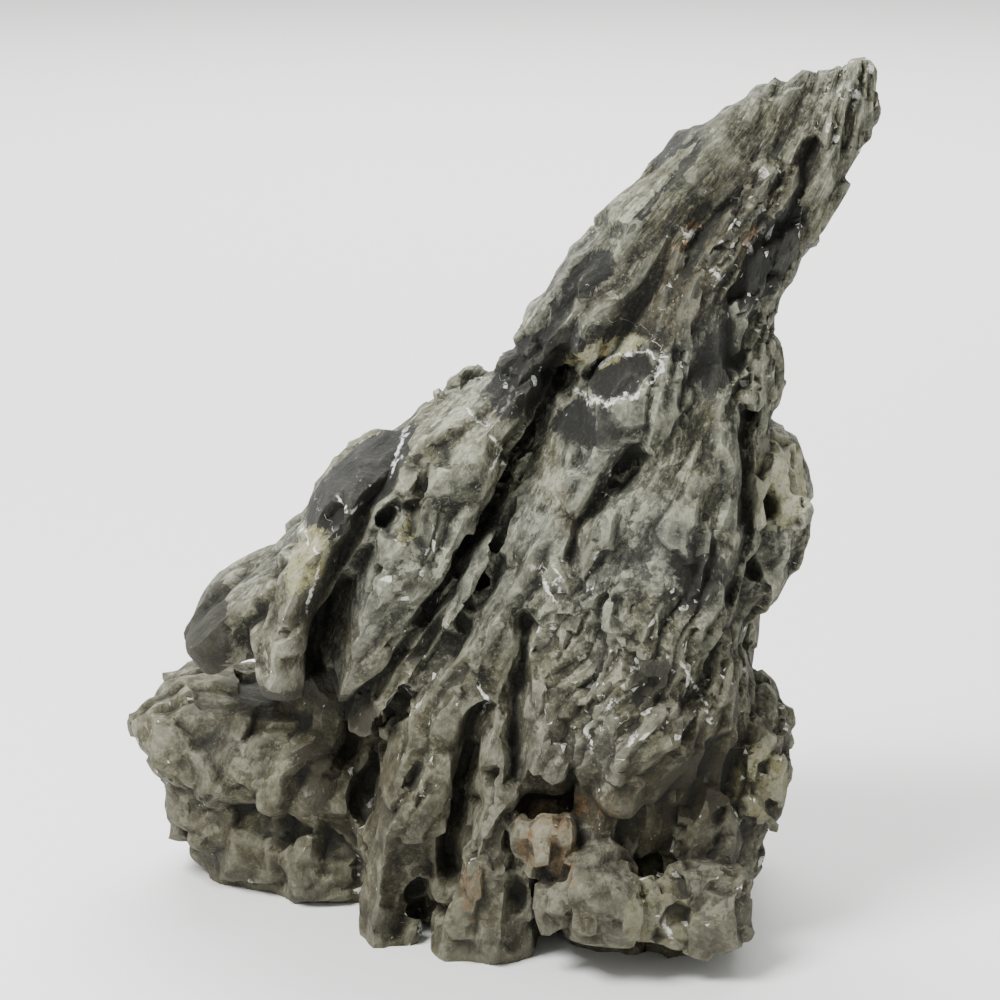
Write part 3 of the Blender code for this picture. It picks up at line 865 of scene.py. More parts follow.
    def chips(self, points: Array) -> Array:
        """Crisp thin beds, chips and grain, which fade out near the underside.

        Args:
            points: places in the stone's frame, shape (..., 3).

        Returns:
            Heights, shape (...).
        """
        beds = self.fan.coordinates(points + 1.0 * shaken(points / 5.0, 181))
        grain = 0.10 * layered_noise(points / 2.4, 94, 2)
        made = self.chip_beds.beds(beds) + self.small_chips.flakes(beds) + grain
        return self.calm(points) * self.rough(points) * made * above_base(points)


def coordinates(mesh: bpy.types.Mesh, kind: str = "co") -> Array:
    """A mesh's vertex places or normals.

    Args:
        mesh: the mesh to read.
        kind: co or normal.

    Returns:
        An array of shape (vertices, 3).
    """
    values = np.empty(len(mesh.vertices) * 3)
    mesh.vertices.foreach_get(kind, values)
    return values.reshape(-1, 3)


def put_coordinates(mesh: bpy.types.Mesh, points: Array) -> None:
    """Writes vertex places into a mesh.

    Args:
        mesh: the mesh to change.
        points: places in metres, shape (vertices, 3).
    """
    mesh.vertices.foreach_set("co", points.astype(np.float32).ravel())
    mesh.update()


class Neighbours:
    """A mesh's edges, for averages over the vertices next to each one."""

    def __init__(self, mesh: bpy.types.Mesh) -> None:
        """Reads the edges.

        Args:
            mesh: the mesh whose edges are used.
        """
        ends = np.empty(len(mesh.edges) * 2, dtype=np.int64)
        mesh.edges.foreach_get("vertices", ends)
        self.start, self.end = ends.reshape(-1, 2).T
        self.size = len(mesh.vertices)
        self.count = np.maximum(self._sum(np.ones(len(self.start)), np.ones(len(self.start))), 1.0)

    def _sum(self, at_end: Array, at_start: Array) -> Array:
        """Sum over each vertex's edges of the values at their other ends."""
        return np.bincount(self.start, at_end, self.size) + np.bincount(self.end, at_start, self.size)

    def smoothed(self, values: Array, rounds: int) -> Array:
        """Values after this many rounds of half a step towards the neighbours' average.

        Args:
            values: one column per quantity, shape (vertices, columns).
            rounds: how many times.

        Returns:
            An array of the same shape.
        """
        made = values.copy()
        for _ in range(rounds):
            mean = np.stack(
                [self._sum(column[self.end], column[self.start]) / self.count for column in made.T], axis=-1
            )
            made = 0.5 * (made + mean)
        return made


class Triangles:
    """A mesh's triangles, for planing its surface into flat facets with crisp edges."""

    joining: int = 12

    def __init__(self, mesh: bpy.types.Mesh) -> None:
        """Reads the triangles and pairs up those that share a side.

        Args:
            mesh: the mesh whose triangles are used.
        """
        mesh.calc_loop_triangles()
        corners = np.empty(len(mesh.loop_triangles) * 3, dtype=np.int32)
        mesh.loop_triangles.foreach_get("vertices", corners)
        self.corners = corners.astype(np.int64).reshape(-1, 3)
        self.size = len(mesh.vertices)
        self.uses = np.maximum(np.bincount(self.corners.ravel(), minlength=self.size), 1)
        sides = np.concatenate([self.corners[:, [k, (k + 1) % 3]] for k in range(3)])
        key = sides.min(axis=-1) * self.size + sides.max(axis=-1)
        order = np.argsort(key, kind="stable")
        same = key[order][1:] == key[order][:-1]
        owner = order % len(self.corners)
        self.first, self.second = owner[:-1][same], owner[1:][same]

    def normals(self, points: Array) -> tuple[Array, Array]:
        """Each triangle's normal, half the cross product of two sides over its length, and its area.

        Args:
            points: the vertices' places, shape (vertices, 3).

        Returns:
            Normals, shape (triangles, 3), and areas, shape (triangles).
        """
        spot = points[self.corners]
        cross = 0.5 * np.cross(spot[:, 1] - spot[:, 0], spot[:, 2] - spot[:, 0])
        area = np.linalg.norm(cross, axis=-1)
        return cross / np.maximum(area, 1e-12)[:, None], area

    def evened(self, normals: Array, area: Array, tolerance: float, rounds: int) -> Array:
        """Normals averaged with those of neighbours that face nearly the same way.

        A neighbour weighs its area times exp(-gap^2 / (2 tolerance^2)), where gap is the distance between the
        two normals. What turns more than the tolerance stays an edge.

        Args:
            normals: shape (triangles, 3).
            area: shape (triangles).
            tolerance: the distance of normals that still counts as near.
            rounds: how many times.

        Returns:
            Normals, shape (triangles, 3).
        """
        made = normals
        count = len(made)
        for _ in range(rounds):
            gap = np.sum((made[self.first] - made[self.second]) ** 2, axis=-1)
            share = np.exp(-0.5 * gap / tolerance**2)
            to_first = share * area[self.second]
            to_second = share * area[self.first]
            total = np.stack(
                [
                    column * area
                    + np.bincount(self.first, to_first * column[self.second], count)
                    + np.bincount(self.second, to_second * column[self.first], count)
                    for column in made.T
                ],
                axis=-1,
            )
            made = total / np.maximum(np.linalg.norm(total, axis=-1, keepdims=True), 1e-12)
        return made

    def facets(self, normals: Array, blocks: Array, turn: float) -> Array:
        """Which facet each triangle is part of.

        Triangles that share a side, lie in one block and have normals nearer than turn belong together: each
        takes the lowest number among its neighbours, again and again.

        Args:
            normals: shape (triangles, 3).
            blocks: the block that each lies in, shape (triangles, 3).
            turn: the largest distance between the normals of one facet's neighbours.

        Returns:
            The lowest triangle number in each one's facet, shape (triangles).
        """
        flat = np.linalg.norm(normals[self.first] - normals[self.second], axis=-1) < turn
        joined = flat & np.all(blocks[self.first] == blocks[self.second], axis=-1)
        first, second = self.first[joined], self.second[joined]
        made = np.arange(len(normals))
        for _ in range(self.joining):
            lowest = np.minimum(made[first], made[second])
            np.minimum.at(made, first, lowest)
            np.minimum.at(made, second, lowest)
            made = made[made]
        return made

    def settled(self, points: Array, normals: Array, rounds: int) -> Array:
        """Vertices moved until the triangles face along these normals.

        Each round adds, over a vertex's triangles, the mean of n (n . (m - p)), where n is the wanted
        normal, m the triangle's middle and p the vertex.

        Args:
            points: the vertices' places, shape (vertices, 3).
            normals: the wanted normals, shape (triangles, 3).
            rounds: how many times.

        Returns:
            Places, shape (vertices, 3).
        """
        made = points.copy()
        flat = self.corners.ravel()
        for _ in range(rounds):
            spot = made[self.corners]
            away = spot.mean(axis=1, keepdims=True) - spot
            off = np.einsum("fk,fck->fc", normals, away)
            for k in range(3):
                push = np.bincount(flat, (off * normals[:, k : k + 1]).ravel(), self.size)
                made[:, k] += push / self.uses
        return made


class Skin:
    """The stone's mesh on its way from loose slabs to one closed skin."""

    def __init__(self, name: str) -> None:
        """Makes an empty object.

        Args:
            name: the object's name.
        """
        self.piece = bpy.data.objects.new(name, bpy.data.meshes.new(name))
        bpy.context.scene.collection.objects.link(self.piece)

    def points(self) -> Array:
        """The vertices' places in millimetres, shape (vertices, 3)."""
        return coordinates(self.piece.data) / MM

    def join(self, grids: list[Grid]) -> None:
        """Fills the mesh with these closed surfaces, which may pass through each other.

        Args:
            grids: surfaces in millimetres.
        """
        faces: list[tuple[int, ...]] = []
        count = 0
        for grid in grids:
            faces += grid.faces(count)
            count += grid.points.shape[0] * grid.points.shape[1]
        points = np.concatenate([grid.points.reshape(-1, 3) for grid in grids]) * MM
        self.piece.data.from_pydata(points.tolist(), [], faces)

    def apply(self) -> None:
        """Replaces the mesh with the one that its modifiers give."""
        bpy.context.view_layer.update()
        old = self.piece.data
        graph = bpy.context.evaluated_depsgraph_get()
        self.piece.data = bpy.data.meshes.new_from_object(self.piece.evaluated_get(graph))
        self.piece.modifiers.clear()
        bpy.data.meshes.remove(old)

    def fuse(self, voxel: float) -> None:
        """Joins what overlaps into one closed skin.

        Args:
            voxel: edge of a voxel in metres.
        """
        remesh = self.piece.modifiers.new("fuse", "REMESH")
        remesh.mode = "VOXEL"
        remesh.voxel_size = voxel
        self.apply()

    def raise_by(self, heights: Array) -> None:
        """Moves each vertex along its normal.

        Args:
            heights: one height per vertex, in millimetres.
        """
        mesh = self.piece.data
        put_coordinates(mesh, coordinates(mesh) + coordinates(mesh, "normal") * heights[:, None] * MM)

    def sink(self, depths: Array) -> None:
        """Moves what faces the front straight back.

        Args:
            depths: one depth per vertex, in millimetres.
        """
        mesh = self.piece.data
        points = coordinates(mesh)
        points[:, 1] += depths * ramp(-coordinates(mesh, "normal")[:, 1], -0.2, 0.3) * MM
        put_coordinates(mesh, points)

    def sharpen(self, amount: float, rounds: int) -> None:
        """Moves each vertex away from its smoothed place, which makes ridges and clefts crisper.

        The move is w m / (w + m), where w is what is asked for and m is one millimetre, so that no hollow
        runs deep.

        Args:
            amount: share of the way from the smoothed place that is added.
            rounds: rounds of smoothing.
        """
        mesh = self.piece.data
        points = coordinates(mesh)
        away = amount * (points - Neighbours(mesh).smoothed(points, rounds))
        length = np.linalg.norm(away, axis=-1, keepdims=True)
        put_coordinates(mesh, points + away * MM / (MM + length))

    def plane(self, tolerance: float, rounds: int, settling: int) -> None:
        """Planes the skin into flat facets with crisp edges.

        Args:
            tolerance: how far two normals may differ and still become one facet.
            rounds: how far a facet spreads, in triangles.
            settling: rounds of moving the vertices.
        """
        mesh = self.piece.data
        triangles = Triangles(mesh)
        points = coordinates(mesh)
        normals, area = triangles.normals(points)
        wanted = triangles.evened(normals, area, tolerance, rounds)
        put_coordinates(mesh, triangles.settled(points, wanted, settling))

    def cut_flat(self) -> None:
        """Cuts off what lies below z = 0 with one large box."""
        mesh = bpy.data.meshes.new("ground_cutter")
        corners = [(x, y, z) for x in (-0.3, 0.3) for y in (-0.3, 0.3) for z in (-0.1, 0.0)]
        sides = [(0, 1, 3, 2), (4, 6, 7, 5), (0, 4, 5, 1), (2, 3, 7, 6), (0, 2, 6, 4), (1, 5, 7, 3)]
        mesh.from_pydata(corners, [], sides)
        ground = bpy.data.objects.new("ground_cutter", mesh)
        bpy.context.scene.collection.objects.link(ground)
        cut = self.piece.modifiers.new("flat_base", "BOOLEAN")
        cut.operation = "DIFFERENCE"
        cut.object = ground
        self.apply()
        bpy.data.objects.remove(ground, do_unlink=True)
        bpy.data.meshes.remove(mesh)

    def level_underside(self, reach: float) -> None:
        """Puts every vertex that lies below this height, in metres, on z = 0."""
        points = coordinates(self.piece.data)
        points[:, 2] = np.where(points[:, 2] < reach, 0.0, points[:, 2])
        put_coordinates(self.piece.data, points)

    def thin_out(self, triangles: int) -> None:
        """Leaves about this many triangles, the most where the form turns most.

        Args:
            triangles: how many triangles to leave.
        """
        self.piece.data.calc_loop_triangles()
        thin = self.piece.modifiers.new("thin", "DECIMATE")
        thin.ratio = triangles / len(self.piece.data.loop_triangles)
        thin.use_collapse_triangulate = True
        self.apply()


class Tint(Enum):
    """Colours that lie in patches on the stone, each with an attribute of its own. The dark grey and brown
    ones also hold painted shade under the overhangs and at the hip.
    """

    SLATE = "slate"
    UMBER = "umber"
    RUST = "rust"
    LIME = "lime"
    PALE = "pale"

    @property
    def edge(self) -> tuple[float, float]:
        """The shares between which a facet fades in: near each other for slate, rust and lime."""
        return (0.05, 0.60) if self in (Tint.UMBER, Tint.PALE) else (0.24, 0.34)

    @property
    def spread(self) -> tuple[float, float]:
        """The noise values between which the back fades in: high for rust and lime, which are rare."""
        return (0.50, 1.60) if self in (Tint.RUST, Tint.LIME) else (0.30, 0.55)


@dataclass(frozen=True)
class Patch(Spot):
    """A patch of colour on the front; some dark grey and brown ones are painted shade."""

    def share(self, points: Array) -> Array:
        """strength exp(-(a^2 + c^2)^2) of the distances along and across, on the front only.

        Args:
            points: places in the stone's frame, shape (..., 3).

        Returns:
            Shares from 0 to 1, shape (...).
        """
        along, across = self.place(points)
        spot = np.exp(-((along**2 + across**2) ** 2))
        return np.minimum(self.strength * spot * ramp(14.0 - points[..., 1], 0.0, 14.0), 1.0)


@dataclass(frozen=True)
class Vein:
    """A white line on the front: its (x, z) corners, and its width over the usual one."""

    path: Path
    width: float = 1.0

    def distances(self, points: Array) -> tuple[Array, Array]:
        """Signed distance to the path over the width, and a share that falls to 0 at the path's ends.

        Args:
            points: places in the stone's frame, shape (n, 3).

        Returns:
            Signed distances in millimetres and shares, both of shape (n,).
        """
        flat = points[:, (0, 2)]
        corners = np.array(self.path, dtype=float)
        runs = np.diff(corners, axis=0)
        lengths = np.hypot(runs[:, 0], runs[:, 1])
        before = np.concatenate([[0.0], np.cumsum(lengths)])
        best = np.full(len(points), FAR)
        place = np.zeros(len(points))
        for start, run, length, done in zip(corners, runs, lengths, before):
            away = flat - start
            share = np.clip(away @ run / length**2, 0.0, 1.0)
            gap = np.linalg.norm(away - share[:, None] * run, axis=-1)
            side = np.where(away[:, 0] * run[1] - away[:, 1] * run[0] > 0.0, 1.0, -1.0)
            nearer = gap < np.abs(best)
            best = np.where(nearer, gap * side, best)
            place = np.where(nearer, done + share * length, place)
        inside = np.minimum(place, before[-1] - place)
        return best / self.width, ramp(inside, 0.0, 1.5) * ramp(-points[:, 1], -6.0, 0.0)


PATCHES: dict[Tint, tuple[Patch, ...]] = {
    Tint.SLATE: (
        Patch(-34, 109, 15, 7.5, 45, 2), Patch(8, 133, 12, 6.5, 45, 1.6),
        Patch(19, 122.5, 9, 4.5, 12, 0.6), Patch(19, 154.5, 6.5, 2.8, 45, 2),
        Patch(-73, 70, 13, 8, 90, 6), Patch(59, 159, 13, 5, 62, 0.9), Patch(-14, 128, 10, 3.6, 40, 0.8),
        Patch(34, 176, 18, 6, 50, 0.45), Patch(26, 133.5, 7.5, 2.8, 27, 1.2),
        Patch(48, 137, 9, 6, 70, 0.6), Patch(43, 90, 9, 7, 60, 0.6), Patch(33, 69, 7, 5, 75, 0.6),
        # Patch(-50, 56) is a painted shadow in the dark band under the eave's overhang.
        Patch(-50, 56, 28, 5, -8, 0.9), Patch(-44, 36, 6, 12, 0, 0.6), Patch(46, 44, 16, 9, 0, 0.5),
    ),
    Tint.UMBER: (
        Patch(43, 159, 20, 9, 56, 1.8), Patch(57, 165, 18, 6, 62, 0.9), Patch(28, 146, 12, 5, 25, 1),
        # Patch(-55, 50) is painted shade on the lobe's top, under the overhang.
        Patch(-42, 84, 16, 5, 62, 0.8), Patch(-55, 50, 28, 8, -6), Patch(-30, 38, 12, 8, 60, 0.8),
        # Patch(40, 44) is painted shade on the hip at the lower right.
        Patch(40, 44, 18, 12, 20, 1), Patch(24, 38, 14, 6, 0, 0.8),
    ),
    Tint.RUST: (
        Patch(41, 164, 5, 2.4, 60, 0.5), Patch(54, 163, 4, 2, 60, 0.45), Patch(10, 31, 8, 6, 125),
        Patch(20, 38, 8, 2.5, 10, 0.6), Patch(20, 137, 6, 3, 30, 0.5), Patch(-6, 18, 8, 4, 90, 0.45),
    ),
    Tint.LIME: (
        Patch(-44, 90, 8, 4, 60, 0.8), Patch(22, 137.5, 9, 3, 25, 1), Patch(63, 107, 9, 8, 60),
        Patch(35, 17, 8, 8, 90), Patch(58, 41, 8, 7, 90, 0.8), Patch(-20, 98, 5, 2.6, 40, 0.5),
    ),
    Tint.PALE: (
        Patch(-6, 122, 11, 7, 45), Patch(-20, 87, 10, 6, 45), Patch(-50, 67, 12, 5, 65),
        Patch(30, 166, 22, 4, 47, 0.5), Patch(7, 108, 13, 6.5, 55), Patch(27, 103, 11, 6, 55, 0.7),
        Patch(-72, 43, 10, 4.5, 100), Patch(-58, 38, 9, 5, 60), Patch(74, 196, 8, 3, 60),
        Patch(-4, 36, 10, 4, 80, 0.8), Patch(64, 106, 13, 11, 80, 1.5), Patch(46, 14, 16, 10, 0),
        Patch(10, 30, 8, 6, 125), Patch(18, 76, 14, 12, 60, 0.5),
    ),
}

VEINS = (
    Vein(((15.5, 128), (19, 127), (26, 129.5), (32, 133), (36.5, 137.5)), 1.9),
    Vein(((36.5, 137.5), (32.5, 139), (26, 137.5), (19.5, 133.5)), 1.1),
    Vein(((-21, 121), (-23, 114), (-25.5, 108)), 1.6),
    Vein(((-37.5, 105), (-34, 101.5), (-31.5, 102.5)), 1.4),
    Vein(((-9, 124), (-3, 120.5), (0, 115), (-3, 111)), 1.2),
    Vein(((6, 92), (9.5, 88), (12.5, 83.5)), 2.2), Vein(((11, 93), (13.5, 89)), 1.8),
    Vein(((39.5, 73), (43, 65), (47.5, 57)), 1.4), Vein(((46, 59), (48.5, 56)), 2.4),
    Vein(((22.5, 62), (25, 65.5)), 2), Vein(((27, 55), (30, 58.5)), 1.8),
    Vein(((18, 58), (20, 54.5), (19, 52)), 2), Vein(((38, 166), (41.5, 163.5)), 2.2),
    Vein(((45, 158), (47.5, 154)), 2.6), Vein(((53, 162.5), (55, 160)), 2),
    Vein(((-50, 93), (-45, 95), (-40, 92)), 1.5), Vein(((-41, 90), (-43, 84), (-44, 78)), 1.5),
    Vein(((76, 197), (79, 193)), 2.4), Vein(((-6, 66), (-3, 60), (-5, 56)), 1.3),
    Vein(((36, 16), (38, 10)), 1.8),
)


class Value:
    """A number socket whose arithmetic adds Math nodes."""

    def __init__(self, book: NodeBook, socket: Socket) -> None:
        """Wraps a socket.

        Args:
            book: the material that the socket is in.
            socket: an output socket.
        """
        self.book = book
        self.socket = socket

    def _math(self, operation: str, *terms: float | Value, clamp: bool = False) -> Value:
        """The result of one Math node."""
        node = self.book.node("ShaderNodeMath", {"operation": operation, "use_clamp": clamp}, list(terms))
        return Value(self.book, node.outputs[0])

    def __add__(self, other: float | Value) -> Value:
        """Sum."""
        return self._math("ADD", self, other)

    __radd__ = __add__

    def __sub__(self, other: float | Value) -> Value:
        """Difference."""
        return self._math("SUBTRACT", self, other)

    def __rsub__(self, other: float | Value) -> Value:
        """Difference from a number."""
        return self._math("SUBTRACT", other, self)

    def __mul__(self, other: float | Value) -> Value:
        """Product."""
        return self._math("MULTIPLY", self, other)

    __rmul__ = __mul__

    def __abs__(self) -> Value:
        """Size."""
        return self._math("ABSOLUTE", self)

    def larger(self, other: float | Value) -> Value:
        """The larger of the two."""
        return self._math("MAXIMUM", self, other)

    def clamped(self) -> Value:
        """Held between 0 and 1."""
        return self._math("ADD", self, 0.0, clamp=True)

    def ramp(self, low: float, high: float) -> Value:
        """A smooth rise from 0 at low to 1 at high, or a fall where low is above high.

        Args:
            low: where it is 0.
            high: where it is 1.

        Returns:
            The ramp.
        """
        first, last, start, stop = (low, high, 0.0, 1.0) if low < high else (high, low, 1.0, 0.0)
        node = self.book.node(
            "ShaderNodeMapRange",
            {"interpolation_type": "SMOOTHSTEP"},
            {"Value": self, "From Min": first, "From Max": last, "To Min": start, "To Max": stop},
        )
        return Value(self.book, node.outputs[0])


class NodeBook:
    """A material's node tree and the few ways in which nodes are added to it."""

    def __init__(self, name: str) -> None:
        """Makes the material.

        Args:
            name: the material's name.
        """
        self.material = bpy.data.materials.new(name)
        self.material.use_nodes = True
        self.tree = self.material.node_tree
        self.shader = self.tree.nodes["Principled BSDF"]

    def node(self, kind: str, settings: dict[str, object], values: Inputs) -> bpy.types.Node:
        """Adds a node.

        Args:
            kind: the node's type.
            settings: its properties, set first.
            values: numbers, vectors or links for its inputs, by name or in order.

        Returns:
            The node.
        """
        made = self.tree.nodes.new(kind)
        for name, value in settings.items():
            setattr(made, name, value)
        pairs = values.items() if isinstance(values, dict) else enumerate(values)
        for name, value in pairs:
            self.feed(made.inputs[name], value)
        return made

    def feed(self, socket: Socket, value: object) -> None:
        """Sets an input or links it.

        Args:
            socket: the input.
            value: a number, a vector, a socket or a Value.
        """
        if isinstance(value, Value):
            value = value.socket
        if isinstance(value, Socket):
            self.tree.links.new(value, socket)
        else:
            socket.default_value = value

    def mark(self, name: str) -> Value:
        """One of the piece's number attributes."""
        return Value(self, self.node("ShaderNodeAttribute", {"attribute_name": name}, {}).outputs["Fac"])

    def vector(self, operation: str, *terms: object) -> Socket:
        """The result of one Vector Math node."""
        return self.node("ShaderNodeVectorMath", {"operation": operation}, list(terms)).outputs[0]

    def part(self, vector: Socket, axis: int) -> Value:
        """One of the three numbers of a vector."""
        return Value(self, self.node("ShaderNodeSeparateXYZ", {}, {"Vector": vector}).outputs[axis])

    def noise(
        self, vector: Socket, scale: float, detail: float = 3.0, rough: float = 0.55, bend: float = 0.0
    ) -> Value:
        """Noise from 0 to 1, with most of it near 0.5.

        Args:
            vector: where to read it.
            scale: waves per unit.
            detail: finer layers.
            rough: strength of each finer layer.
            bend: how far it is distorted.

        Returns:
            The noise.
        """
        values = {"Vector": vector, "Scale": scale, "Detail": detail, "Roughness": rough, "Distortion": bend}
        return Value(self, self.node("ShaderNodeTexNoise", {}, values).outputs["Fac"])

    def mix(self, share: float | Value, first: object, second: object) -> Socket:
        """A mix of two colours.

        Args:
            share: 0 for the first, 1 for the second.
            first: a colour or a socket.
            second: a colour or a socket.

        Returns:
            The colour socket.
        """
        made = self.node("ShaderNodeMix", {"data_type": "RGBA"}, {"Factor": share})
        for socket, value in ((made.inputs[6], first), (made.inputs[7], second)):
            self.feed(socket, (*value, 1.0) if isinstance(value, tuple) else value)
        return made.outputs[2]


class StoneBook(NodeBook):
    """The stone's material, with the place in metres and the bed coordinates that its patterns read."""

    def __init__(self, name: str) -> None:
        """Makes the material and both vectors.

        Args:
            name: the material's name.
        """
        super().__init__(name)
        self.place = self.node("ShaderNodeTexCoord", {}, {}).outputs["Object"]
        self.beds = self.node("ShaderNodeAttribute", {"attribute_name": "beds"}, {}).outputs["Vector"]

    def bed_noise(self, across: float, deep: float, along: float, detail: float = 4.0) -> Value:
        """Noise stretched along the beds.

        Args:
            across: waves per centimetre across the beds.
            deep: waves per centimetre in depth.
            along: waves per centimetre along the beds.
            detail: finer layers.

        Returns:
            The noise.
        """
        return self.noise(self.vector("MULTIPLY", self.beds, (across, deep, along)), 1.0, detail, 0.65)

    def chip(self, size: float) -> tuple[Value, Value]:
        """Small chips of the surface, as random cells in the beds, shaken by noise.

        Args:
            size: how many times finer than the largest chips.

        Returns:
            A random number from 0 to 1 for each chip, and the distance from its middle.
        """
        shake = self.node("ShaderNodeTexNoise", {}, {"Vector": self.beds, "Scale": 6.0 * size, "Detail": 2.0})
        centred = self.vector("SUBTRACT", shake.outputs["Color"], (0.5, 0.5, 0.5))
        bent = self.vector("MULTIPLY_ADD", centred, (0.10 / size,) * 3, self.beds)
        cells = self.vector("MULTIPLY", bent, (6.0 * size, 3.6 * size, 2.8 * size))
        made = self.node("ShaderNodeTexVoronoi", {"feature": "F1"}, {"Vector": cells, "Scale": 1.0})
        return self.part(made.outputs["Color"], 0), Value(self, made.outputs["Distance"])


@dataclass(frozen=True)
class Limestone:
    """The finish: weathered, finely bedded limestone with calcite veins, with painted shade in its hollows,
    towards its foot and in a few dark patches, and painted light on raised edges and on facets that face the
    key lamp. Colours are linear.
    """

    olive: Colour = (0.082, 0.079, 0.044)
    grey: Colour = (0.060, 0.062, 0.054)
    light: Colour = (0.36, 0.36, 0.27)
    dark: Colour = (0.008, 0.008, 0.005)
    slate: Colour = (0.010, 0.010, 0.011)
    umber: Colour = (0.050, 0.040, 0.016)
    rust: Colour = (0.27, 0.140, 0.052)
    lime: Colour = (0.34, 0.32, 0.14)
    calcite: Colour = (0.78, 0.78, 0.73)

    def material(self) -> bpy.types.Material:
        """Builds the material.

        Returns:
            The material.
        """
        book = StoneBook("limestone_with_painted_shade")
        shade = book.mark("shade")
        open_share = (1.0 - book.mark("slate") * 0.85 - book.mark("umber") * 0.45).clamped()
        colour = self._stain(book, self._ground(book))
        colour = self._grain(book, colour, open_share)
        colour = self._wear_highlight_and_shade(book, colour, book.mark("wear_and_highlight") * open_share, shade)
        # Veins are dimmed by the painted shade in the hollows.
        veins = self._veins(book) * (1.0 - shade * 0.7)
        colour = book.mix((veins * 0.9).clamped(), colour, self.calcite)
        book.feed(book.shader.inputs["Base Color"], colour)
        fine = book.noise(book.place, 700.0, 4.0, 0.6)
        book.feed(book.shader.inputs["Roughness"], (0.84 - veins * 0.25 - fine * 0.14).clamped())
        book.feed(book.shader.inputs["Normal"], self._bump(book))
        book.shader.inputs["Specular IOR Level"].default_value = 0.4
        return book.material

    def _ground(self, book: StoneBook) -> Socket:
        """Olive, grey and brown in cloudy areas, with streaks along the beds.

        Args:
            book: the material.

        Returns:
            The colour.
        """
        cloudy = book.noise(book.place, 24.0, 3.0, 0.5, 0.6).ramp(0.40, 0.60)
        colour = book.mix(cloudy, self.olive, self.grey)
        brown = book.noise(book.place, 38.0, 4.0, 0.6, 0.5)
        colour = book.mix(brown.ramp(0.52, 0.66) * 0.6, colour, self.umber)
        streaks = book.bed_noise(6.0, 1.2, 0.8, 5.0)
        colour = book.mix(streaks.ramp(0.52, 0.70) * 0.35, colour, self.light)
        return book.mix(streaks.ramp(0.48, 0.32) * 0.5, colour, self.dark)

    def _stain(self, book: StoneBook, colour: Socket) -> Socket:
        """Brown, dark grey, rust and lime where their attributes and a noise agree; some brown and dark grey
        patches are painted shade.

        Args:
            book: the material.
            colour: what is stained.

        Returns:
            The colour.
        """
        edge = book.noise(book.place, 150.0, 4.0, 0.65, 0.3)
        stains = (("umber", self.umber, 0.75), ("slate", self.slate, 0.93), ("rust", self.rust, 0.8))
        for name, stain, most in (*stains, ("lime", self.lime, 0.6)):
            amount = book.mark(name)
            ragged = (amount * 1.5 + (edge - 0.5) * 3.0).ramp(0.30, 0.85)
            colour = book.mix(ragged * (amount * 1.4).clamped() * most, colour, stain)
        return colour

    def _grain(self, book: StoneBook, colour: Socket, open_share: Value) -> Socket:
        """Paler and darker facets, random in part and in part painted light, paler where they face the key
        lamp, with chips, crumbs and a fine grain in them.

        Args:
            book: the material.
            colour: what lies below.
            open_share: how far the pale grain shows, less on slate and umber.

        Returns:
            The colour.
        """
        # The facet mark makes facets that face the key lamp paler: painted light.
        tone = book.mark("tone") * 0.75 + (book.chip(1.0)[0] - 0.5) + (book.chip(2.4)[0] - 0.5) * 0.7
        crumbs = book.noise(book.place, 420.0, 4.0, 0.7)
        pale = book.mark("pale") * 0.45 + book.mark("lime") * 0.6
        tone = tone + (crumbs - 0.5) * 2.2 + pale + (open_share - 1.0) * 0.8
        colour = book.mix((tone.ramp(0.0, 1.2) * 0.8).clamped(), colour, self.light)
        colour = book.mix((tone.ramp(0.0, -1.1) * 0.97).clamped(), colour, self.dark)
        grain = book.noise(book.place, 1000.0, 6.0, 0.75)
        colour = book.mix(grain.ramp(0.52, 0.66) * open_share * 0.4, colour, self.light)
        return book.mix(grain.ramp(0.49, 0.36) * 0.6, colour, self.dark)

    def _wear_highlight_and_shade(self, book: StoneBook, colour: Socket, wear_and_highlight: Value, shade: Value) -> Socket:
        """Pale raised edges, partly worn and partly painted highlight, painted shade in the hollows, and
        painted shade that darkens the stone towards its foot, below about 11 cm.

        Args:
            book: the material.
            colour: what is weathered.
            wear_and_highlight: how far each place is a raised edge, paled as worn stone and as painted
                highlight.
            shade: how far it is a hollow, darkened as painted shade.

        Returns:
            The colour.
        """
        broken = book.noise(book.place, 260.0, 4.0, 0.65)
        # Raised edges turn pale: partly worn stone, partly painted highlight.
        colour = book.mix((wear_and_highlight * (broken * 2.4 - 0.6)).clamped() * 0.65, colour, self.light)
        # Painted shade: the stone darkens towards its foot, below about 11 cm.
        foot_shade = (book.part(book.place, 2) + (broken - 0.5) * 0.05).ramp(0.110, 0.010) * 0.55
        colour = book.mix(foot_shade, colour, self.umber)
        # Painted shade: hollows and creases are darkened.
        return book.mix((shade * 0.92).clamped(), colour, self.dark)

    def _veins(self, book: StoneBook) -> Value:
        """White calcite: the drawn veins, flecks and a few whole facets.

        Args:
            book: the material.

        Returns:
            Its share.
        """
        frayed = book.noise(book.place, 260.0, 3.0, 0.6)
        drawn = abs(book.mark("vein") + (frayed - 0.5) * 2.6).ramp(0.36, 0.12) * book.mark("vein_share")
        drawn = drawn * book.noise(book.place, 420.0, 4.0, 0.7).ramp(0.42, 0.54)
        flecks = book.bed_noise(9.0, 5.0, 4.0).ramp(0.70, 0.75)
        broken = book.noise(book.place, 600.0, 4.0, 0.7).ramp(0.38, 0.56)
        return drawn.larger(flecks).larger(book.mark("calcite") * broken)

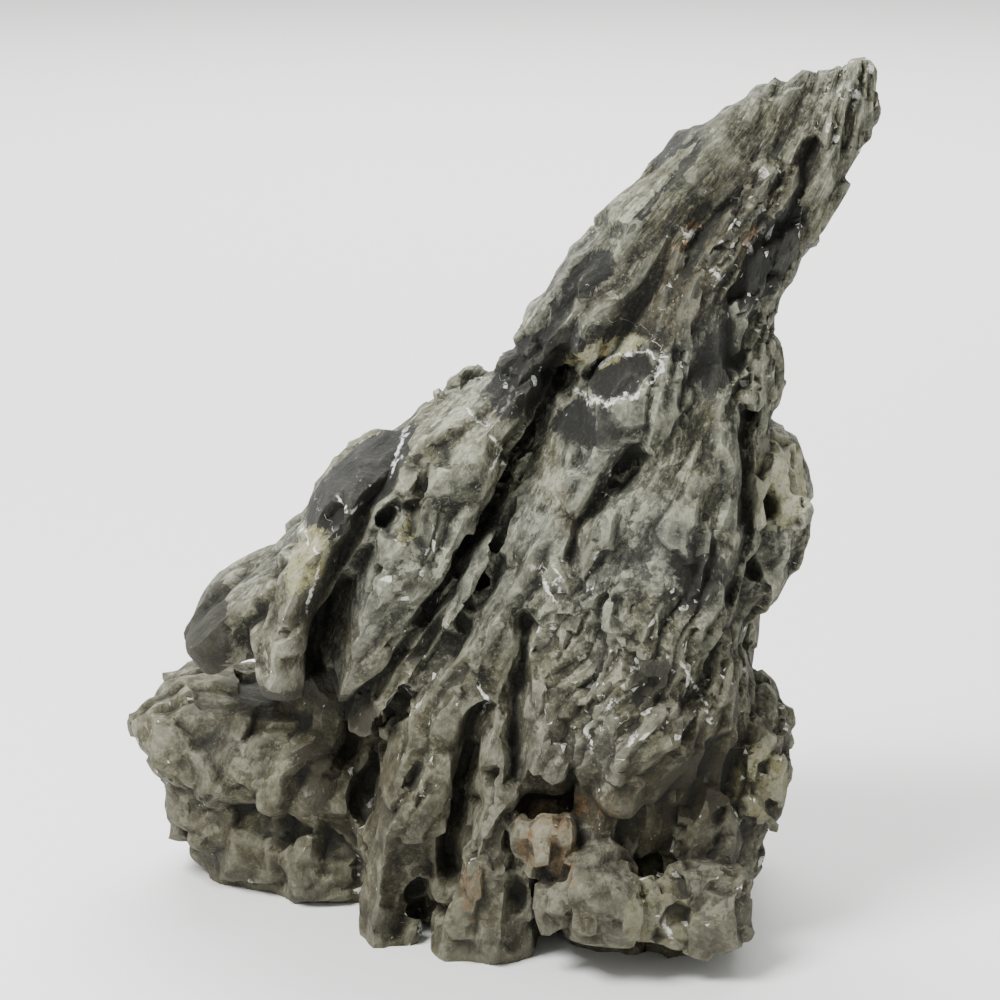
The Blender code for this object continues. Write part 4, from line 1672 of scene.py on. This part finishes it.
    def _bump(self, book: StoneBook) -> Socket:
        """Fine grain, crumbs, chips and thin beds, finer than the mesh.

        Args:
            book: the material.

        Returns:
            The bumped normal.
        """
        grain = book.noise(book.place, 1000.0, 6.0, 0.75)
        crumbs = book.noise(book.place, 420.0, 4.0, 0.7)
        chips = book.chip(1.0)[1] * 0.7 + book.chip(2.4)[1] * 0.3
        height = grain * 0.5 + book.bed_noise(14.0, 2.4, 1.2) * 0.6 + crumbs * 0.7 - chips * 0.7
        made = book.node("ShaderNodeBump", {}, {"Strength": 1.0, "Distance": 0.0009, "Height": height})
        return made.outputs["Normal"]


@dataclass(frozen=True)
class PaleGround:
    """The plain floor's finish."""

    colour: Colour = (0.86, 0.865, 0.855)

    def material(self) -> bpy.types.Material:
        """Builds the material.

        Returns:
            The material.
        """
        book = NodeBook("pale_floor")
        book.shader.inputs["Base Color"].default_value = (*self.colour, 1.0)
        book.shader.inputs["Roughness"].default_value = 0.9
        book.shader.inputs["Specular IOR Level"].default_value = 0.1
        return book.material


@dataclass(frozen=True)
class Stone:
    """The whole stone: its parts, its relief, the sizes of its making and its finish.

    Rows and ring are the points along and round each slab. Voxels are in metres. Raised edges and hollows
    are told by edge_rounds and hollow_rounds of smoothing. Triangles whose normals are nearer than
    facet_turn become one facet. A rough facet of fewer than calcite_size triangles is calcite in
    calcite_share of the cases.
    """

    parts: tuple[Beds, ...] = (Core(), Spire(), RightSide(), Front(), LeftWing(), Back(), Foot())
    relief: Relief = Relief()
    finish: Limestone = Limestone()
    middle: tuple[float, float] = (-3.15, 5.2)
    rows: int = 90
    ring: int = 84
    coarse_voxel: float = 0.001
    fine_voxel: float = 0.0007
    triangles: int = 194000
    normal_rounds: int = 12
    edge_rounds: int = 6
    hollow_rounds: int = 60
    facet_turn: float = 0.16
    calcite_size: int = 10
    calcite_share: float = 0.035
    sharp_deg: float = 24.0

    def build(self) -> bpy.types.Object:
        """Makes the stone's mesh.

        Returns:
            The finished piece, with its place in its mesh.
        """
        skin = Skin("seiryu_stone")
        pieces: list[Slab | Lump] = []
        for part in self.parts:
            pieces += part.pieces(len(pieces))
        skin.join([piece.grid(self.rows, self.ring) for piece in pieces])
        LOG.info("%d slabs and lumps", len(pieces))
        skin.fuse(self.coarse_voxel)
        self._break_up(skin)
        skin.raise_by(self.relief.broad(skin.points()))
        skin.sink(self.relief.clefts.depth(skin.points()))
        LOG.info("broad relief on %d vertices", len(skin.points()))
        skin.fuse(self.fine_voxel)
        skin.cut_flat()
        skin.raise_by(self.relief.shards(skin.points()))
        skin.fuse(self.fine_voxel)
        base = self.fine_voxel * 0.7
        skin.level_underside(base)
        skin.raise_by(self.relief.chips(skin.points()))
        LOG.info("fine relief on %d vertices", len(skin.points()))
        skin.sharpen(amount=1.6, rounds=14)
        skin.plane(tolerance=0.2, rounds=60, settling=25)
        skin.level_underside(base)
        skin.thin_out(self.triangles)
        self._mark(skin.piece.data)
        self._centre(skin.piece.data)
        return skin.piece

    def _break_up(self, skin: Skin) -> None:
        """Flattens the skin block by block.

        Args:
            skin: the stone's skin.
        """
        mesh = skin.piece.data
        normals = Neighbours(mesh).smoothed(coordinates(mesh, "normal"), self.normal_rounds)
        normals /= np.maximum(np.linalg.norm(normals, axis=-1, keepdims=True), 0.1)
        skin.raise_by(self.relief.flattening(skin.points(), normals))

    def _mark(self, mesh: bpy.types.Mesh) -> None:
        """Writes what the finish reads: bed coordinates in centimetres, pale raised edges that are partly
        worn and partly painted highlight, painted shade in hollows, tints and veins.

        The edges and the painted shade come from how far a vertex stands above or below its smoothed place,
        along its normal.

        Args:
            mesh: the stone's mesh, before it is centred.
        """
        points = coordinates(mesh) / MM
        normals = coordinates(mesh, "normal")
        near = Neighbours(mesh)
        edges = np.sum((points - near.smoothed(points, self.edge_rounds)) * normals, axis=-1)
        hollows = np.sum((near.smoothed(points, self.hollow_rounds) - points) * normals, axis=-1)
        marks = {
            # Raised edges, which the finish pales as worn stone and as painted highlight.
            "wear_and_highlight": ramp(edges, 0.05, 0.36),
            # Hollows and creases, which the finish darkens as painted shade.
            "shade": np.clip(ramp(hollows, 0.4, 2.6) + 0.7 * ramp(-edges, 0.06, 0.40), 0.0, 1.0),
            "vein": np.full(len(points), NO_VEIN),
            "vein_share": np.zeros(len(points)),
        }
        for vein in VEINS:
            side, share = vein.distances(points)
            nearer = np.abs(side) < np.abs(marks["vein"])
            marks["vein"] = np.where(nearer, side, marks["vein"])
            marks["vein_share"] = np.where(nearer, share, marks["vein_share"])
        for domain, table in (("POINT", marks), ("FACE", self._facet_marks(mesh, points))):
            for name, values in table.items():
                made = mesh.attributes.new(name, "FLOAT", domain)
                made.data.foreach_set("value", values.astype(np.float32))
        beds = self.relief.fan.coordinates(points) * 0.1
        made = mesh.attributes.new("beds", "FLOAT_VECTOR", "POINT")
        made.data.foreach_set("vector", beds.astype(np.float32).ravel())

    def _facet_marks(self, mesh: bpy.types.Mesh, points: Array) -> dict[str, Array]:
        """What each facet has as a whole: how pale it is, partly as painted light, whether it is calcite, and
        its share of each tint.

        Tone runs from -1 to 1: random for each facet, weaker on the calm faces, and paler where it faces up,
        left and to the front, towards the key lamp, which is painted light.

        Args:
            mesh: the stone's mesh.
            points: its vertices' places in millimetres.

        Returns:
            One array of shape (triangles) for each attribute.
        """
        triangles = Triangles(mesh)
        normals, _ = triangles.normals(points)
        middles = points[triangles.corners].mean(axis=1)
        lowest = triangles.facets(normals, self.relief.blocks(middles), self.facet_turn)
        _, facet = np.unique(lowest, return_inverse=True)
        size = np.bincount(facet)
        LOG.info("%d facets", len(size))
        numbers = np.arange(len(size))[:, None] * np.array([1, 0, 0])
        chance = lattice(numbers, 7)[facet]
        calm = self.relief.calm(middles)
        # How far a facet faces up, left and to the front, towards the key lamp; the paler tone this gives is
        # painted light.
        lit_side = normals @ np.array([-0.40, -0.25, 0.75])
        small = (size < self.calcite_size)[facet] & (self.relief.rough(middles) > 0.5)
        marks = {
            "tone": np.clip((0.3 + 0.7 * calm) * (1.8 * chance - 0.9) + 0.5 * lit_side - 0.45, -1.0, 1.0),
            "calcite": np.where(small & (chance > 1.0 - self.calcite_share), 0.8, 0.0),
        }
        back = ramp(middles[:, 1], 22.0, 36.0)
        for number, tint in enumerate(Tint):
            front = np.max([patch.share(middles) for patch in PATCHES[tint]], axis=0)
            cloud = ramp(layered_noise(middles / 24.0, 120 + 5 * number, 2), *tint.spread)
            own = np.minimum(np.maximum(front, cloud * back), 1.0)
            mean = (np.bincount(facet, own) / size)[facet]
            ragged = 0.5 * (mean + own) + 0.4 * (lattice(numbers, 20 + number)[facet] - 0.5)
            marks[tint.value] = np.minimum(2.0 * own, 1.0) * ramp(ragged, *tint.edge)
        return marks

    def _centre(self, mesh: bpy.types.Mesh) -> None:
        """Moves the mesh so that the middle of the stone's outline is at the origin."""
        shift = np.array([self.middle[0], self.middle[1], 0.0]) * MM
        put_coordinates(mesh, coordinates(mesh) - shift)

    def dress(self, piece: bpy.types.Object) -> None:
        """Gives the piece its finish and sets it in the frame.

        Args:
            piece: the stone.
        """
        piece.data.materials.clear()
        piece.data.materials.append(self.finish.material())
        piece.data.shade_smooth()
        piece.data.set_sharp_from_angle(angle=math.radians(self.sharp_deg))
        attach(piece, "root")
        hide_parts(NODE)


@dataclass(frozen=True)
class Lamp:
    """A square soft light: where it hangs, its side in metres, its power in watts and what it points at."""

    name: str
    place: Place
    size: float
    power: float
    aim: Place = HEART

    def build(self) -> None:
        """Hangs the lamp and turns it to its aim."""
        light = bpy.data.lights.new(self.name, "AREA")
        light.size = self.size
        light.energy = self.power
        made = bpy.data.objects.new(self.name, light)
        made.location = self.place
        made.rotation_euler = (Vector(self.aim) - Vector(self.place)).to_track_quat("-Z", "Y").to_euler()
        bpy.context.scene.collection.objects.link(made)


@dataclass(frozen=True)
class Studio:
    """A plain floor, soft light and the photograph's angle of view. Lengths are in metres."""

    lamps: tuple[Lamp, ...] = (
        Lamp("key", (-0.48, -0.38, 0.90), 0.40, 20.0),
        Lamp("backdrop", (0.0, 1.3, 1.5), 1.6, 72.0, (0.0, 1.0, 0.0)),
    )
    sky_colour: Colour = (1.0, 1.0, 0.985)
    sky_strength: float = 0.62
    floor_reach: float = 3.0
    elevation_deg: float = 14.5
    distance: float = 0.68
    frame_width: float = 0.232
    sensor_mm: float = 36.0

    def floor(self) -> None:
        """A plain pale floor."""
        mesh = bpy.data.meshes.new("floor")
        reach = self.floor_reach
        corners = [(-reach, -reach, 0), (reach, -reach, 0), (reach, reach, 0), (-reach, reach, 0)]
        mesh.from_pydata(corners, [], [(0, 1, 2, 3)])
        made = bpy.data.objects.new("floor", mesh)
        made.data.materials.append(PaleGround().material())
        bpy.context.scene.collection.objects.link(made)

    def sky(self) -> None:
        """An even pale surrounding light."""
        world = bpy.data.worlds.new("studio")
        world.use_nodes = True
        background = world.node_tree.nodes["Background"]
        background.inputs["Color"].default_value = (*self.sky_colour, 1.0)
        background.inputs["Strength"].default_value = self.sky_strength
        bpy.context.scene.world = world

    def camera(self) -> None:
        """The camera, in front of the stone and a little above it."""
        data = bpy.data.cameras.new("camera")
        data.sensor_width = self.sensor_mm
        data.lens = self.sensor_mm * self.distance / self.frame_width
        data.clip_start = 0.01
        made = bpy.data.objects.new("camera", data)
        lift = math.radians(self.elevation_deg)
        back = Vector((0.0, -math.cos(lift), math.sin(lift)))
        made.location = Vector(HEART) + back * self.distance
        made.rotation_euler = (-back).to_track_quat("-Z", "Y").to_euler()
        bpy.context.scene.collection.objects.link(made)
        bpy.context.scene.camera = made

    def build(self) -> None:
        """Sets the whole stage."""
        self.floor()
        self.sky()
        for lamp in self.lamps:
            lamp.build()
        self.camera()


def main() -> None:
    """Builds the stone and its stage."""
    logging.basicConfig(level=logging.INFO, format="%(name)s: %(message)s")
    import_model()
    Studio().build()
    stone = Stone()
    piece = stone.build()
    stone.dress(piece)
    LOG.info("%s has %d triangles", piece.name, len(piece.data.polygons))


if __name__ == "__main__":
    main()
